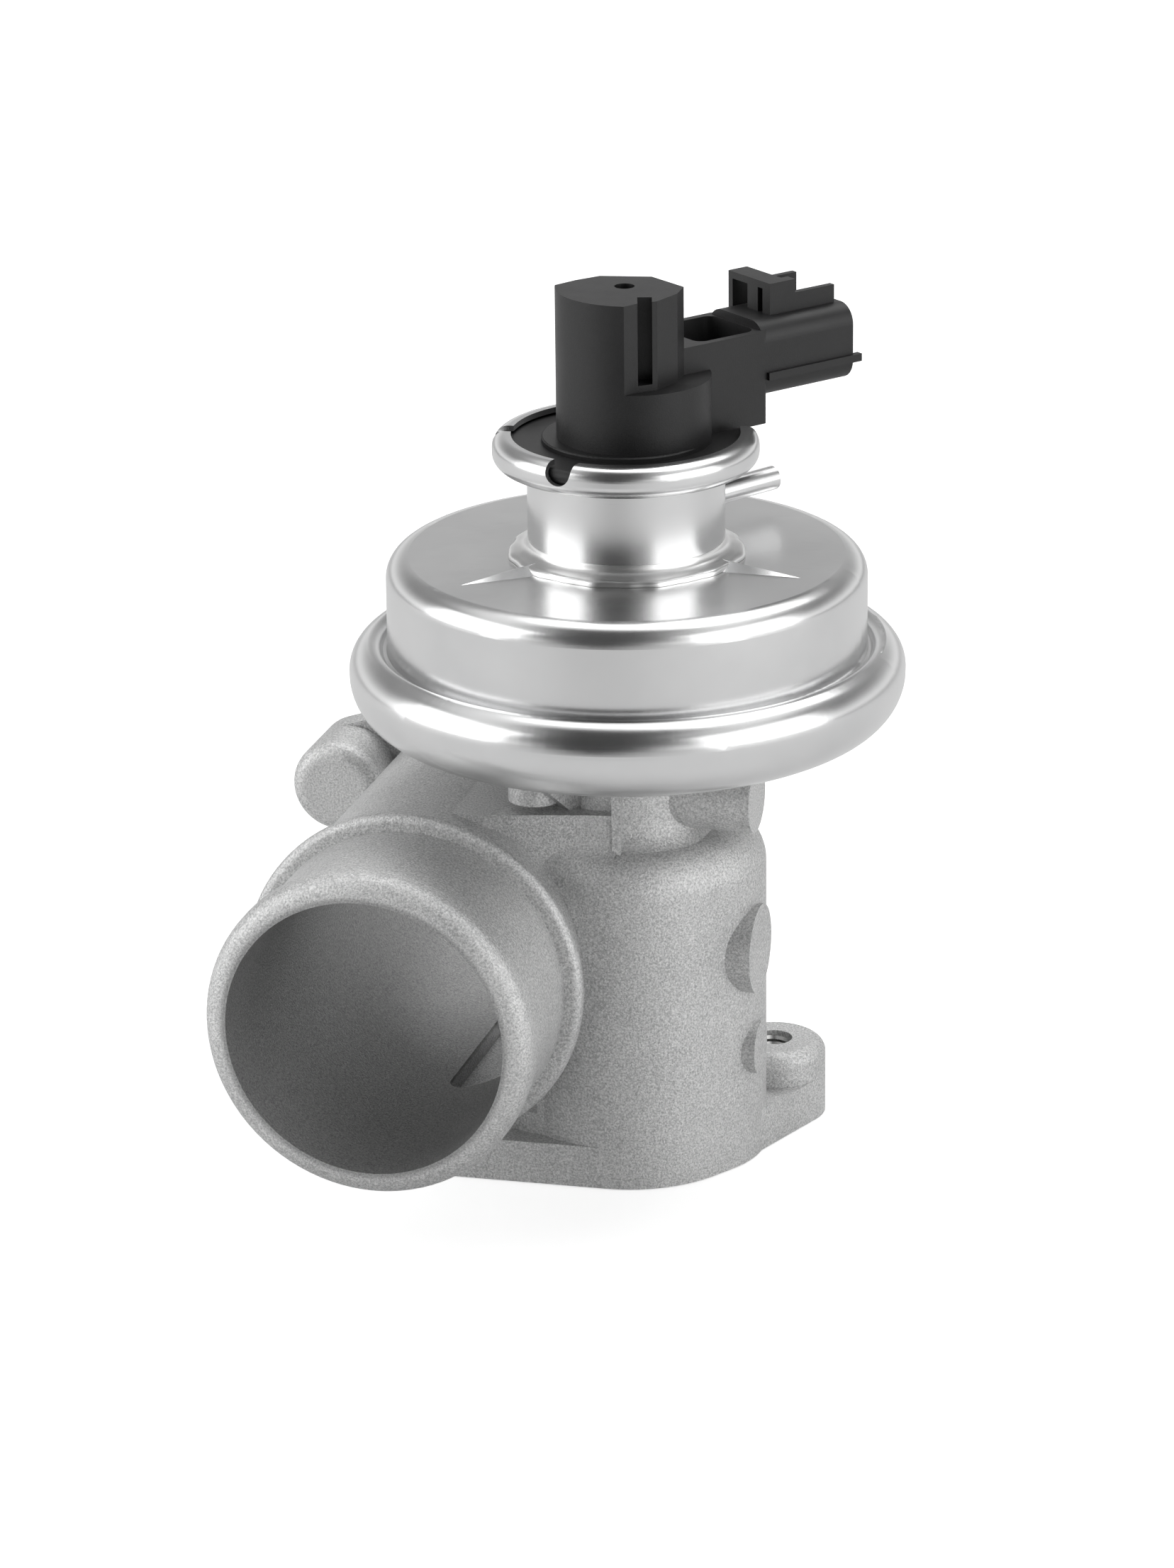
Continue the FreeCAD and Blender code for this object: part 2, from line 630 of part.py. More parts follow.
def cast_details():
    """Two side pads, the round boss under the rim, the front rib and the corner web."""
    side = Vector(1, 0, 0)
    inner = CHAMBER_RADIUS + 1.0
    pad = cylinder(PAD_RADIUS, Vector(inner, PAD_Y, PAD_Z), side, PAD_X - inner)
    small = cylinder(SMALL_PAD_RADIUS, Vector(inner, SMALL_PAD_Y, SMALL_PAD_Z), side, SMALL_PAD_X - inner)
    boss = cylinder(BOSS_RADIUS, Vector(6.0, BOSS_Y, BOSS_Z), side, BOSS_X - 6.0)
    core = NECK_RADIUS - 3
    top = HOUSING_TOP_Z - SEAT_FLANGE_THICKNESS + 1
    rib_foot = SHOULDER_TOP_Z - SHOULDER_ROUNDING
    web_foot = top - WEB_HEIGHT
    rib = upright_web([(core, rib_foot), (NECK_RADIUS + RIB_REACH, rib_foot), (NECK_RADIUS + RIB_REACH, top),
                       (core, top)], RIB_THICKNESS, RIB_ANGLE)
    web = upright_web([(core, web_foot), (NECK_RADIUS - 0.5, web_foot), (NECK_RADIUS + WEB_REACH, top),
                       (core, top)], WEB_THICKNESS, WEB_ANGLE)
    return [pad, small, boss, rib, web]


def upright_web(points, thickness, degrees):
    """Plate of a (radius, height) outline, standing on a radius at an angle."""
    wire = rounded_wire(points, [0] * len(points), lift_xz)
    plate = Part.Face(wire).extrude(Vector(0, thickness, 0))
    plate.translate(Vector(0, -thickness / 2, 0))
    return turned(plate, degrees)


def housing_cavities():
    """What is taken out of the housing: duct bore, valve chamber, port, bores and threads."""
    bore = along_duct(cylinder(DUCT_BORE_RADIUS, Vector(0, 0, -MOUTH_DISTANCE - 1), UP,
                               MOUTH_DISTANCE + OUTLET_DISTANCE + 2))
    chamber = revolved([(0, CHAMBER_FLOOR_Z), (CHAMBER_RADIUS, CHAMBER_FLOOR_Z),
                        (CHAMBER_RADIUS, CHAMBER_ROOF_Z), (0, CHAMBER_ROOF_Z)], [0, 0, CHAMBER_ROUNDING, 0])
    corner_x = PORT_LEFT_X + PORT_CORNER_RADIUS
    corner_y = PORT_HALF_WIDTH - PORT_CORNER_RADIUS
    port = prism(circle_hull([(0, 0, CHAMBER_RADIUS), (corner_x, corner_y, PORT_CORNER_RADIUS),
                              (corner_x, -corner_y, PORT_CORNER_RADIUS)]), PORT_FLOOR_Z, PORT_TOP_Z)
    inlet = revolved([(0, -1), (SEAT_OUTER_RADIUS, -1), (SEAT_OUTER_RADIUS, SEAT_TOP_Z),
                      (SEAT_STOP_RADIUS, SEAT_TOP_Z), (SEAT_STOP_RADIUS, CHAMBER_FLOOR_Z + 1),
                      (0, CHAMBER_FLOOR_Z + 1)])
    guide = revolved([(0, CHAMBER_ROOF_Z - 1), (GUIDE_OUTER_RADIUS, CHAMBER_ROOF_Z - 1),
                      (GUIDE_OUTER_RADIUS, GUIDE_TOP_Z), (SEAL_OUTER_RADIUS, GUIDE_TOP_Z),
                      (SEAL_OUTER_RADIUS, HOUSING_TOP_Z + 1), (0, HOUSING_TOP_Z + 1)])
    groove = along_duct(tube_ring(OUTLET_GROOVE_INNER, OUTLET_GROOVE_INNER + OUTLET_GROOVE_WIDTH,
                                  OUTLET_DISTANCE - OUTLET_GROOVE_DEPTH, OUTLET_DISTANCE + 1))
    return [bore, chamber, port, inlet, guide, groove] + ear_threads() + lug_threads() + screw_threads()


def chamfered_hole(radius, depth, through):
    """Hole tool that starts below z=0 and goes up, with a chamfer at its mouth."""
    top = depth + 1 if through else depth
    points = [(0, -1), (radius + THREAD_CHAMFER, -1), (radius + THREAD_CHAMFER, 0),
              (radius, THREAD_CHAMFER), (radius, top), (0, top if through else top + radius * 0.6)]
    return revolved(points)


def ear_threads():
    """Tapped holes of the base ears: the right one goes through, the left one is under the duct."""
    tools = []
    for centre, depth, through in zip(ear_centres(), (EAR_HEIGHT, BLIND_THREAD_DEPTH), (True, False)):
        tool = chamfered_hole(EAR_THREAD_RADIUS, depth, through)
        tool.translate(centre)
        tools.append(tool)
    return tools


def lug_threads():
    """Tapped blind holes in the outlet lugs, from the flange's face."""
    tools = []
    for place in lug_places():
        tool = chamfered_hole(LUG_THREAD_RADIUS, LUG_THREAD_DEPTH, False)
        tool.rotate(ORIGIN, Vector(1, 0, 0), 180)
        tool.translate(Vector(place.x, place.y, OUTLET_DISTANCE))
        tools.append(along_duct(tool))
    return tools


def screw_threads():
    """Tapped holes for the actuator's screws."""
    depth = SCREW_DEPTH + 1.0
    return [cylinder(SCREW_RADIUS, place, UP, depth + 1) for place in screw_places(HOUSING_TOP_Z - depth)]


def valve_housing():
    """Cast housing: flange, column, duct, seat and details in one solid, then its cavities."""
    column = fused(valve_column() + base_flange() + [duct_saddle(), neck_ledge()])
    upright = fused([column] + actuator_seat() + cast_details())
    casting = fused([upright, fused(air_duct())])
    return casting.cut(housing_cavities()).removeSplitter()


def valve_seat():
    """Seat ring, pressed in from below, with its conical face at the top."""
    inner = SEAT_BORE_RADIUS
    return revolved([(inner, 0), (SEAT_OUTER_RADIUS, 0),
                     (SEAT_OUTER_RADIUS, SEAT_TOP_Z), (inner + SEAT_CHAMFER, SEAT_TOP_Z),
                     (inner, SEAT_TOP_Z - SEAT_CHAMFER)])


def head_base_z():
    """Underside of the closed valve head."""
    return SEAT_TOP_Z - SEAT_CHAMFER + SEAT_GAP


def valve_head():
    """Poppet disc with a conical edge and a hub round the stem."""
    base = head_base_z()
    rim = SEAT_BORE_RADIUS + SEAT_CHAMFER
    edge_z = base + SEAT_CHAMFER
    hub_z = edge_z + HEAD_EDGE + HEAD_HUB_RISE
    return revolved([(STEM_RADIUS, base), (SEAT_BORE_RADIUS, base), (rim, edge_z), (rim, edge_z + HEAD_EDGE),
                     (HEAD_HUB_RADIUS, hub_z), (HEAD_HUB_RADIUS - 1.2, hub_z + HEAD_FILLET),
                     (STEM_RADIUS, hub_z + HEAD_FILLET)])


def valve_stem():
    """Stem from the head to the diaphragm plates, with a shoulder for the plates."""
    base = head_base_z()
    return revolved([(0, base), (STEM_RADIUS, base), (STEM_RADIUS, PLATE_SHOULDER_Z),
                     (STEM_TOP_RADIUS, PLATE_SHOULDER_Z), (STEM_TOP_RADIUS, STEM_TOP_Z), (0, STEM_TOP_Z)])


def stem_guide():
    """Guide bush with a running bore for the stem."""
    return tube_ring(STEM_RADIUS + GUIDE_CLEARANCE, GUIDE_OUTER_RADIUS, CHAMBER_ROOF_Z, GUIDE_TOP_Z)


def deposit_shield():
    """Thin cup under the bush that keeps soot off the stem."""
    top = CHAMBER_ROOF_Z - SHIELD_THICKNESS / 2
    return pressed_sheet([(STEM_RADIUS + SHIELD_GAP, top), (SHIELD_RADIUS, top),
                          (SHIELD_RADIUS + 0.4, top - SHIELD_DROP)], [0.7], SHIELD_THICKNESS)


def stem_seal():
    """Seal ring over the bush, with a lip groove."""
    low = GUIDE_TOP_Z
    high = low + SEAL_THICKNESS
    inner = STEM_RADIUS + SEAL_GAP
    return revolved([(inner, low), (SEAL_OUTER_RADIUS, low), (SEAL_OUTER_RADIUS, high),
                     (SEAL_OUTER_RADIUS - 1.2, high), (SEAL_OUTER_RADIUS - 2.2, high - 1.6),
                     (inner + 0.9, high - 1.6), (inner, high)])


def seal_retainer():
    """Pressed ring that holds the seal down."""
    low = GUIDE_TOP_Z + SEAL_THICKNESS
    return tube_ring(STEM_RADIUS + 2 * SEAL_GAP + 0.4, SEAL_OUTER_RADIUS, low, low + RETAINER_THICKNESS)


def screw_holes(low, high):
    """Clearance holes for the actuator's screws."""
    radius = SCREW_RADIUS + SCREW_HOLE_CLEARANCE
    return [cylinder(radius, place, UP, high - low) for place in screw_places(low)]


def actuator_gasket():
    """Flat gasket between housing and pan."""
    ring = tube_ring(PAN_HOLE_RADIUS, SEAT_FLANGE_RADIUS, HOUSING_TOP_Z, PAN_BOTTOM_Z)
    return ring.cut(screw_holes(HOUSING_TOP_Z - 1, PAN_BOTTOM_Z + 1))


def lower_shell():
    """Pan of the actuator: floor, step, curled wall and the ledge under the diaphragm's edge."""
    wall = CURL_CENTRE_RADIUS + PAN_CURL_RADIUS
    floor = PAN_FLOOR_MID_Z
    outer_floor = CURL_CENTRE_Z - PAN_CURL_RADIUS
    pan = pressed_sheet([(PAN_HOLE_RADIUS, floor), (PAN_FLOOR_RADIUS, floor),
                         (PAN_FLOOR_RADIUS + PAN_STEP, outer_floor), (wall, outer_floor), (wall, LEDGE_Z),
                         (wall - LEDGE_WIDTH, LEDGE_Z)],
                        [1.6, 1.6, PAN_CURL_RADIUS, 0.9], SHEET)
    return pan.cut(screw_holes(PAN_BOTTOM_Z - 1, PAN_BOTTOM_Z + SHEET + 1))


def actuator_screws():
    """Pan head screws, one solid each."""
    seat = PAN_BOTTOM_Z + SHEET
    screws = []
    for place in screw_places(0):
        screw = revolved([(0, HOUSING_TOP_Z - SCREW_DEPTH), (SCREW_RADIUS, HOUSING_TOP_Z - SCREW_DEPTH),
                          (SCREW_RADIUS, seat), (SCREW_HEAD_RADIUS, seat),
                          (SCREW_HEAD_RADIUS, seat + SCREW_HEAD_HEIGHT), (0, seat + SCREW_HEAD_HEIGHT)],
                         [0, 0.5, 0, 0, 1.2, 0])
        screw.translate(place)
        screws.append(screw)
    return Part.makeCompound(screws)


def stamped_rib_angles():
    """Angles of the ribs stamped in the can's top."""
    return [STAMPED_RIB_ANGLE + i * 360.0 / STAMPED_RIB_COUNT for i in range(STAMPED_RIB_COUNT)]


def stamped_rib(degrees):
    """Three-sided rib that falls from the neck's foot to a point on the can's top."""
    foot = CAN_TOP_Z - SHEET / 4
    near = NECK_OUTER_RADIUS + 2 * STAMPED_RIB_GAP
    left = Vector(near, STAMPED_RIB_HALF_WIDTH, foot)
    right = Vector(near, -STAMPED_RIB_HALF_WIDTH, foot)
    tip = Vector(STAMPED_RIB_TIP, 0, foot)
    crest = Vector(near, 0, CAN_TOP_Z + STAMPED_RIB_HEIGHT)
    sides = [(left, right, tip), (left, right, crest), (left, tip, crest), (right, tip, crest)]
    faces = [Part.Face(Part.makePolygon([a, b, c, a])) for a, b, c in sides]
    solid = Part.Solid(Part.Shell(faces))
    if solid.Volume < 0:
        solid.reverse()
    return turned(solid, degrees)


def foot_notch(degrees):
    """Tool that opens the neck's foot over a stamped rib."""
    near = NECK_OUTER_RADIUS + STAMPED_RIB_GAP
    half = STAMPED_RIB_HALF_WIDTH + STAMPED_RIB_GAP
    tool = Part.makeBox(CUP_FOOT_RADIUS, 2 * half, STAMPED_RIB_HEIGHT + CUP_SHEET + 2,
                        Vector(near, -half, CAN_TOP_Z - 1))
    return turned(tool, degrees)


def upper_shell():
    """Can of the actuator: ribbed top, wall, groove, and the rim curled round the pan."""
    mid_wall = CAN_RADIUS - SHEET / 2
    mid_top = CAN_TOP_Z - SHEET / 2
    rim_mid = RIM_RADIUS - SHEET / 2
    rim_top = RIM_TOP_Z - SHEET / 2
    groove_end = mid_wall + RIM_GROOVE_WIDTH
    hole = NECK_INNER_RADIUS + CAN_HOLE_CLEARANCE
    can = pressed_sheet([(hole, mid_top), (mid_wall, mid_top), (mid_wall, RIM_GROOVE_Z),
                         (groove_end, RIM_GROOVE_Z), (groove_end + RIM_GROOVE_FLARE, rim_top),
                         (rim_mid, rim_top - RIM_TOP_SLOPE), (rim_mid, RIM_BOTTOM_Z + SHEET / 2),
                         (RIM_LIP_RADIUS, RIM_BOTTOM_Z + SHEET / 2)],
                        [CAN_ROUNDING - SHEET / 2, 0.9, 0.85, 1.2, RIM_TOP_ROUNDING - SHEET / 2,
                         RIM_CURL_RADIUS], SHEET)
    return fused([can] + [stamped_rib(angle) for angle in stamped_rib_angles()])


def diaphragm():
    """Rubber diaphragm: edge bead, rolling wall and the flat middle between the plates."""
    outer = CURL_CENTRE_RADIUS + PAN_CURL_RADIUS - SHEET / 2
    sheet = pressed_sheet([(outer, DIAPHRAGM_EDGE_Z), (DIAPHRAGM_FLEX_OUTER, DIAPHRAGM_EDGE_Z),
                           (DIAPHRAGM_FLEX_INNER, DIAPHRAGM_REST_Z),
                           (STEM_TOP_RADIUS + DIAPHRAGM_HOLE_GAP, DIAPHRAGM_REST_Z)],
                          [2.5, 2.5], DIAPHRAGM_THICKNESS)
    bead_top = DIAPHRAGM_EDGE_Z + DIAPHRAGM_THICKNESS / 2 + DIAPHRAGM_BEAD_HEIGHT
    inner = outer - DIAPHRAGM_BEAD_WIDTH
    bead = revolved([(inner, DIAPHRAGM_EDGE_Z), (outer, DIAPHRAGM_EDGE_Z), (outer, bead_top - 0.4),
                     (outer - 0.5, bead_top), (inner, bead_top)])
    return fused([sheet, bead])


def lower_plate():
    """Disc under the diaphragm."""
    return tube_ring(STEM_TOP_RADIUS + GUIDE_CLEARANCE, LOWER_PLATE_RADIUS, PLATE_SHOULDER_Z,
                     PLATE_SHOULDER_Z + PLATE_THICKNESS)


def upper_plate():
    """Cup over the diaphragm that also carries the return spring."""
    mid = UPPER_PLATE_Z + PLATE_THICKNESS / 2
    return pressed_sheet([(STEM_TOP_RADIUS + GUIDE_CLEARANCE, mid), (UPPER_PLATE_RADIUS, mid),
                          (UPPER_PLATE_RADIUS, mid + UPPER_PLATE_RIM)], [1.5], PLATE_THICKNESS)


def plate_washer():
    """Washer under the nut."""
    return tube_ring(STEM_TOP_RADIUS + GUIDE_CLEARANCE, WASHER_RADIUS, SPRING_FOOT_Z, NUT_Z)


def stem_nut():
    """Hexagon nut on the stem."""
    corner = NUT_FLATS / math.sqrt(3)
    points = [polar(corner, 60 * i) for i in range(6)]
    outline = Part.makePolygon(points + points[:1])
    nut = prism(outline, NUT_Z, NUT_Z + NUT_HEIGHT)
    return nut.cut(cylinder(STEM_TOP_RADIUS, Vector(0, 0, NUT_Z - 1), UP, NUT_HEIGHT + 2))


def coil_spring(radius, wire_radius, turns, low, high):
    """Round wire helix between two heights."""
    rise = high - low - 2 * wire_radius
    pitch = rise / turns
    helix = Part.makeHelix(pitch, rise, radius)
    tangent = Vector(0, 2 * math.pi * radius, pitch)
    section = Part.Wire(Part.makeCircle(wire_radius, Vector(radius, 0, 0), tangent))
    spring = Part.Wire(helix.Edges).makePipeShell([section], True, True)
    spring.translate(Vector(0, 0, low + wire_radius))
    return spring


def return_spring():
    """Spring that closes the valve, from the upper plate to its seat in the can."""
    return coil_spring(RETURN_SPRING_RADIUS, RETURN_SPRING_WIRE, RETURN_SPRING_TURNS,
                       SPRING_FOOT_Z + SPRING_END_GAP, SPRING_SEAT_Z - SPRING_END_GAP)


def spring_seat():
    """Ring that centres the spring under the can's top."""
    lip = 2.0
    return revolved([(SPRING_SEAT_INNER, CAN_INNER_TOP_Z), (SPRING_SEAT_INNER, SPRING_SEAT_Z - lip),
                     (SPRING_SEAT_INNER + 0.9, SPRING_SEAT_Z - lip), (SPRING_SEAT_INNER + 0.9, SPRING_SEAT_Z),
                     (SPRING_SEAT_OUTER, SPRING_SEAT_Z), (SPRING_SEAT_OUTER, CAN_INNER_TOP_Z)])


def sector(radius, start, stop, low, high):
    """Pie slice about Z between two angles."""
    slab = Part.makeCylinder(radius, high - low, Vector(0, 0, low), UP, stop - start)
    return turned(slab, start)


def radial_notch(degrees, half_width, foot_z, top_z):
    """Round-bottomed slot tool that cuts outwards through the collar at an angle."""
    inner = COLLAR_LIP_RADIUS - 2
    reach = COLLAR_RADIUS - inner + 2
    round_end = cylinder(half_width, Vector(inner, 0, foot_z + half_width), Vector(1, 0, 0), reach)
    top = Part.makeBox(reach, 2 * half_width, top_z - foot_z - half_width,
                       Vector(inner, -half_width, foot_z + half_width))
    return turned(fused([round_end, top]), degrees)


def sensor_cup():
    """Neck of the can with its rolled collar, notches, the gap for the arm and the nipple's hole."""
    mid_neck = NECK_OUTER_RADIUS - CUP_SHEET / 2
    mid_collar = COLLAR_RADIUS - CUP_SHEET / 2
    foot = CAN_TOP_Z + CUP_SHEET / 2
    low = COLLAR_BOTTOM_Z + CUP_SHEET / 2
    high = COLLAR_TOP_Z - CUP_SHEET / 2
    cup = pressed_sheet([(CUP_FOOT_RADIUS, foot), (mid_neck, foot), (mid_neck, low), (mid_collar, low),
                         (mid_collar, high), (COLLAR_LIP_RADIUS, high)],
                        [1.4, 1.4, COLLAR_ROUNDING - CUP_SHEET / 2, COLLAR_ROUNDING - CUP_SHEET / 2],
                        CUP_SHEET)
    above = COLLAR_TOP_Z + 1
    tools = [radial_notch(NOTCH_ANGLE, NOTCH_RADIUS, COLLAR_TOP_Z - NOTCH_DEPTH, above),
             radial_notch(GAP_ANGLE, GAP_WIDTH / 2, COLLAR_TOP_Z - GAP_DEPTH, above),
             sector(COLLAR_RADIUS + 1, ARM_GAP_START, ARM_GAP_END, COLLAR_TOP_Z - ARM_GAP_DEPTH, above),
             turned(cylinder(FERRULE_RADIUS, Vector(mid_neck - 3, 0, PIPE_Z), Vector(1, 0, 0), 6),
                    PIPE_ANGLE)]
    return cup.cut(tools + [foot_notch(angle) for angle in stamped_rib_angles()])


def vacuum_pipe():
    """Nipple for the vacuum hose, with the ferrule that is brazed in the neck."""
    start = Vector(NECK_INNER_RADIUS - 0.6, 0, PIPE_Z)
    side = Vector(1, 0, 0)
    length = PIPE_REACH - start.x
    ferrule = cylinder(FERRULE_RADIUS, start, side, NECK_OUTER_RADIUS + FERRULE_REACH - start.x)
    outer = fused([cylinder(PIPE_RADIUS, start, side, length), ferrule])
    return turned(outer.cut(cylinder(PIPE_BORE_RADIUS, start, side, length)), PIPE_ANGLE)


def on_connector(along, across):
    """Point in the sensor's axes, from its place along and across the connector."""
    angle = math.radians(CONNECTOR_ANGLE)
    side = CONNECTOR_OFFSET + across
    return (BARREL_OFFSET + along * math.cos(angle) - side * math.sin(angle),
            along * math.sin(angle) + side * math.cos(angle))


def to_connector(shape):
    """A shape made along +X, laid on the connector's axis."""
    placed = shape.copy()
    placed.translate(Vector(0, CONNECTOR_OFFSET, 0))
    placed.rotate(ORIGIN, UP, CONNECTOR_ANGLE)
    placed.translate(Vector(BARREL_OFFSET, 0, 0))
    return placed


def sensor_disc():
    """Round foot of the sensor: spigot, flange and foot ring, with the groove for its O-ring."""
    groove_low = SPIGOT_BOTTOM_Z + 2.0
    groove_high = groove_low + 2.5 * O_RING_TUBE
    groove_radius = SPIGOT_BODY_RADIUS - 2 * O_RING_TUBE + O_RING_GAP
    return revolved([(0, SPIGOT_BOTTOM_Z), (SPIGOT_BODY_RADIUS, SPIGOT_BOTTOM_Z),
                     (SPIGOT_BODY_RADIUS, groove_low), (groove_radius, groove_low),
                     (groove_radius, groove_high), (SPIGOT_BODY_RADIUS, groove_high),
                     (SPIGOT_BODY_RADIUS, DISC_BOTTOM_Z), (DISC_RADIUS, DISC_BOTTOM_Z), (DISC_RADIUS, DISC_TOP_Z),
                     (FOOT_RING_RADIUS, DISC_TOP_Z), (FOOT_RING_RADIUS, DISC_TOP_Z + FOOT_RING_HEIGHT),
                     (0, DISC_TOP_Z + FOOT_RING_HEIGHT)],
                    [0, 0.4, 0, 0, 0, 0, 0, 1.2, 1.2, 0, 0.3, 0])


def sensor_barrel():
    """Round barrel, and above its shelf the cut-back upper part with flats, facet and slot."""
    centre = Vector(BARREL_OFFSET, 0, 0)
    lower = cylinder(BARREL_RADIUS, centre + Vector(0, 0, DISC_TOP_Z), UP, SHELF_Z - DISC_TOP_Z)
    left, front = (centre + polar(BARREL_RADIUS, angle) for angle in BARREL_ARC)
    middle = centre + polar(BARREL_RADIUS, (BARREL_ARC[0] - 360 + BARREL_ARC[1]) / 2)
    edges = [Part.Arc(left, middle, front).toShape()]
    corners = [front] + [lift_xy(p) for p in BARREL_FLATS] + [left]
    edges += [Part.makeLine(a, b) for a, b in zip(corners, corners[1:])]
    upper = prism(Part.Wire(edges), DISC_TOP_Z + FOOT_RING_HEIGHT, SENSOR_TOP_Z)
    slot_bottom = SHELF_Z + SLOT_FOOT
    slot = Part.makeBox(SLOT_X[1] - SLOT_X[0], BARREL_RADIUS, SENSOR_TOP_Z - slot_bottom + 1,
                        Vector(SLOT_X[0], SLOT_FLOOR_Y - BARREL_RADIUS, slot_bottom))
    return [lower, upper.cut(slot)]


def sensor_arm():
    """Arm from the barrel to the connector, open on top over its pocket."""
    half = CONNECTOR_HALF_WIDTH
    outline = [ARM_NEAR_START, on_connector(ARM_NEAR_CORNER, -half), on_connector(ARM_LENGTH, -half),
               on_connector(ARM_LENGTH, half), on_connector(POCKET_START, half),
               (0.0, 4.0), (4.0, -4.0)]
    block = prism(rounded_wire(outline, [0, 0.6, 0.6, 0.6, 1.5, 0, 0], lift_xy), ARM_BOTTOM_Z, ARM_TOP_Z)
    wall = POCKET_WALL
    pocket = Part.makeBox(POCKET_LENGTH, 2 * (half - wall), ARM_TOP_Z - POCKET_FLOOR_Z + 1,
                          Vector(POCKET_START, wall - half, POCKET_FLOOR_Z))
    pocket = pocket.makeFillet(2.0, [e for e in pocket.Edges if e.BoundBox.ZLength > 1.0])
    return block, to_connector(pocket)


def connector_body():
    """Rounded box of the connector with its side rails, along +X before it is turned."""
    half = CONNECTOR_HALF_WIDTH
    start = ARM_LENGTH - 0.8
    length = CONNECTOR_END - start
    section = rounded_wire([(-half, CONNECTOR_BOTTOM_Z), (half, CONNECTOR_BOTTOM_Z), (half, CONNECTOR_TOP_Z),
                            (-half, CONNECTOR_TOP_Z)], [CONNECTOR_ROUNDING] * 4,
                           lambda p: Vector(start, p[0], p[1]))
    box = Part.Face(section).extrude(Vector(length, 0, 0))
    rails = [Part.makeBox(length - 0.8 + RAIL_TAB, RAIL_DEPTH + 0.6, RAIL_HEIGHT,
                          Vector(start + 0.8, side, RAIL_Z)) for side in (-half - RAIL_DEPTH, half - 0.6)]
    return [box] + rails


def connector_socket():
    """Hollow of the socket, with the same rounded section inside the wall."""
    half = CONNECTOR_HALF_WIDTH - CONNECTOR_WALL
    low = CONNECTOR_BOTTOM_Z + CONNECTOR_WALL
    high = CONNECTOR_TOP_Z - CONNECTOR_WALL
    rounding = CONNECTOR_ROUNDING - CONNECTOR_WALL
    section = rounded_wire([(-half, low), (half, low), (half, high), (-half, high)],
                           [rounding] * 4, lambda p: Vector(SOCKET_FLOOR, p[0], p[1]))
    return Part.Face(section).extrude(Vector(SOCKET_DEPTH + RAIL_TAB + 1, 0, 0))


def latch_bridge():
    """Bridge over the plug's latch: a thick leg and a thin one with ribs behind, a post, and a roof."""
    base = CONNECTOR_TOP_Z - CONNECTOR_ROUNDING
    low = LATCH_CENTRE - LATCH_HALF_WIDTH
    high = LATCH_CENTRE + LATCH_HALF_WIDTH
    post = LATCH_CENTRE + LATCH_POST_OFFSET - LATCH_POST_WIDTH / 2
    walls = [(low, LATCH_LEG_WIDTH, LATCH_LEG_LENGTH, LATCH_TOP_Z),
             (high - LATCH_WALL, LATCH_WALL, LATCH_LENGTH, LATCH_TOP_Z),
             (post, LATCH_POST_WIDTH, LATCH_LENGTH, LATCH_TOP_Z),
             (low, LATCH_WALL, LATCH_RIB_END - LATCH_START, LATCH_RIB_Z),
             (high - LATCH_WALL, LATCH_WALL, LATCH_RIB_END - LATCH_START, LATCH_RIB_Z),
             (low, high - low, LATCH_LENGTH, LATCH_TOP_Z)]
    bottoms = [base] * 5 + [LATCH_TOP_Z - LATCH_ROOF]
    return [Part.makeBox(length, width, top - bottom, Vector(LATCH_START, side, bottom))
            for (side, width, length, top), bottom in zip(walls, bottoms)]


def sensor_cavities():
    """Inside of the sensor: spigot bore, plunger bore and the pocket for the track board."""
    spigot = cylinder(SPIGOT_BODY_RADIUS - SPIGOT_WALL, Vector(0, 0, SPIGOT_BOTTOM_Z - 1), UP,
                      SPIGOT_LENGTH + 1)
    bore = cylinder(SENSOR_BORE_RADIUS, Vector(0, 0, SPIGOT_BOTTOM_Z), UP, SENSOR_ROOF_Z - SPIGOT_BOTTOM_Z)
    board_top = BOARD_TOP_Z + BOARD_GAP
    half = BOARD_WIDTH / 2 + BOARD_GAP
    depth = BOARD_THICKNESS - BOARD_FACE_Y + BOARD_GAP
    board = Part.makeBox(2 * half, depth, board_top - DISC_BOTTOM_Z, Vector(BOARD_CENTRE_X - half, -depth,
                                                                          DISC_BOTTOM_Z))
    hole = cylinder(TOP_HOLE_RADIUS, Vector(0, 0, SENSOR_TOP_Z - TOP_HOLE_DEPTH), UP, TOP_HOLE_DEPTH + 1)
    return [spigot, bore, board, hole]


def pin_boxes():
    """The three contact pins, along +X before they are turned."""
    middle = (CONNECTOR_BOTTOM_Z + CONNECTOR_TOP_Z) / 2
    start = SOCKET_FLOOR - PIN_ROOT
    pins = []
    for i in range(PIN_COUNT):
        across = (i - (PIN_COUNT - 1) / 2) * PIN_PITCH
        pins.append(Part.makeBox(PIN_ROOT + PIN_REACH, PIN_WIDTH, PIN_HEIGHT,
                                 Vector(start, across - PIN_WIDTH / 2, middle - PIN_HEIGHT / 2)))
    return [to_connector(pin) for pin in pins]


def sensor_body():
    """Moulded housing of the position sensor."""
    arm, pocket = sensor_arm()
    connector = [to_connector(s) for s in connector_body() + latch_bridge()]
    solid = fused([sensor_disc(), arm] + connector).cut(pocket)
    solid = fused([solid] + sensor_barrel())
    tools = sensor_cavities() + [to_connector(connector_socket())] + pin_boxes()
    return turned(solid.cut(tools).removeSplitter(), SENSOR_TURN)


def connector_terminals():
    """Contact pins, one solid each."""
    return turned(Part.makeCompound(pin_boxes()), SENSOR_TURN)


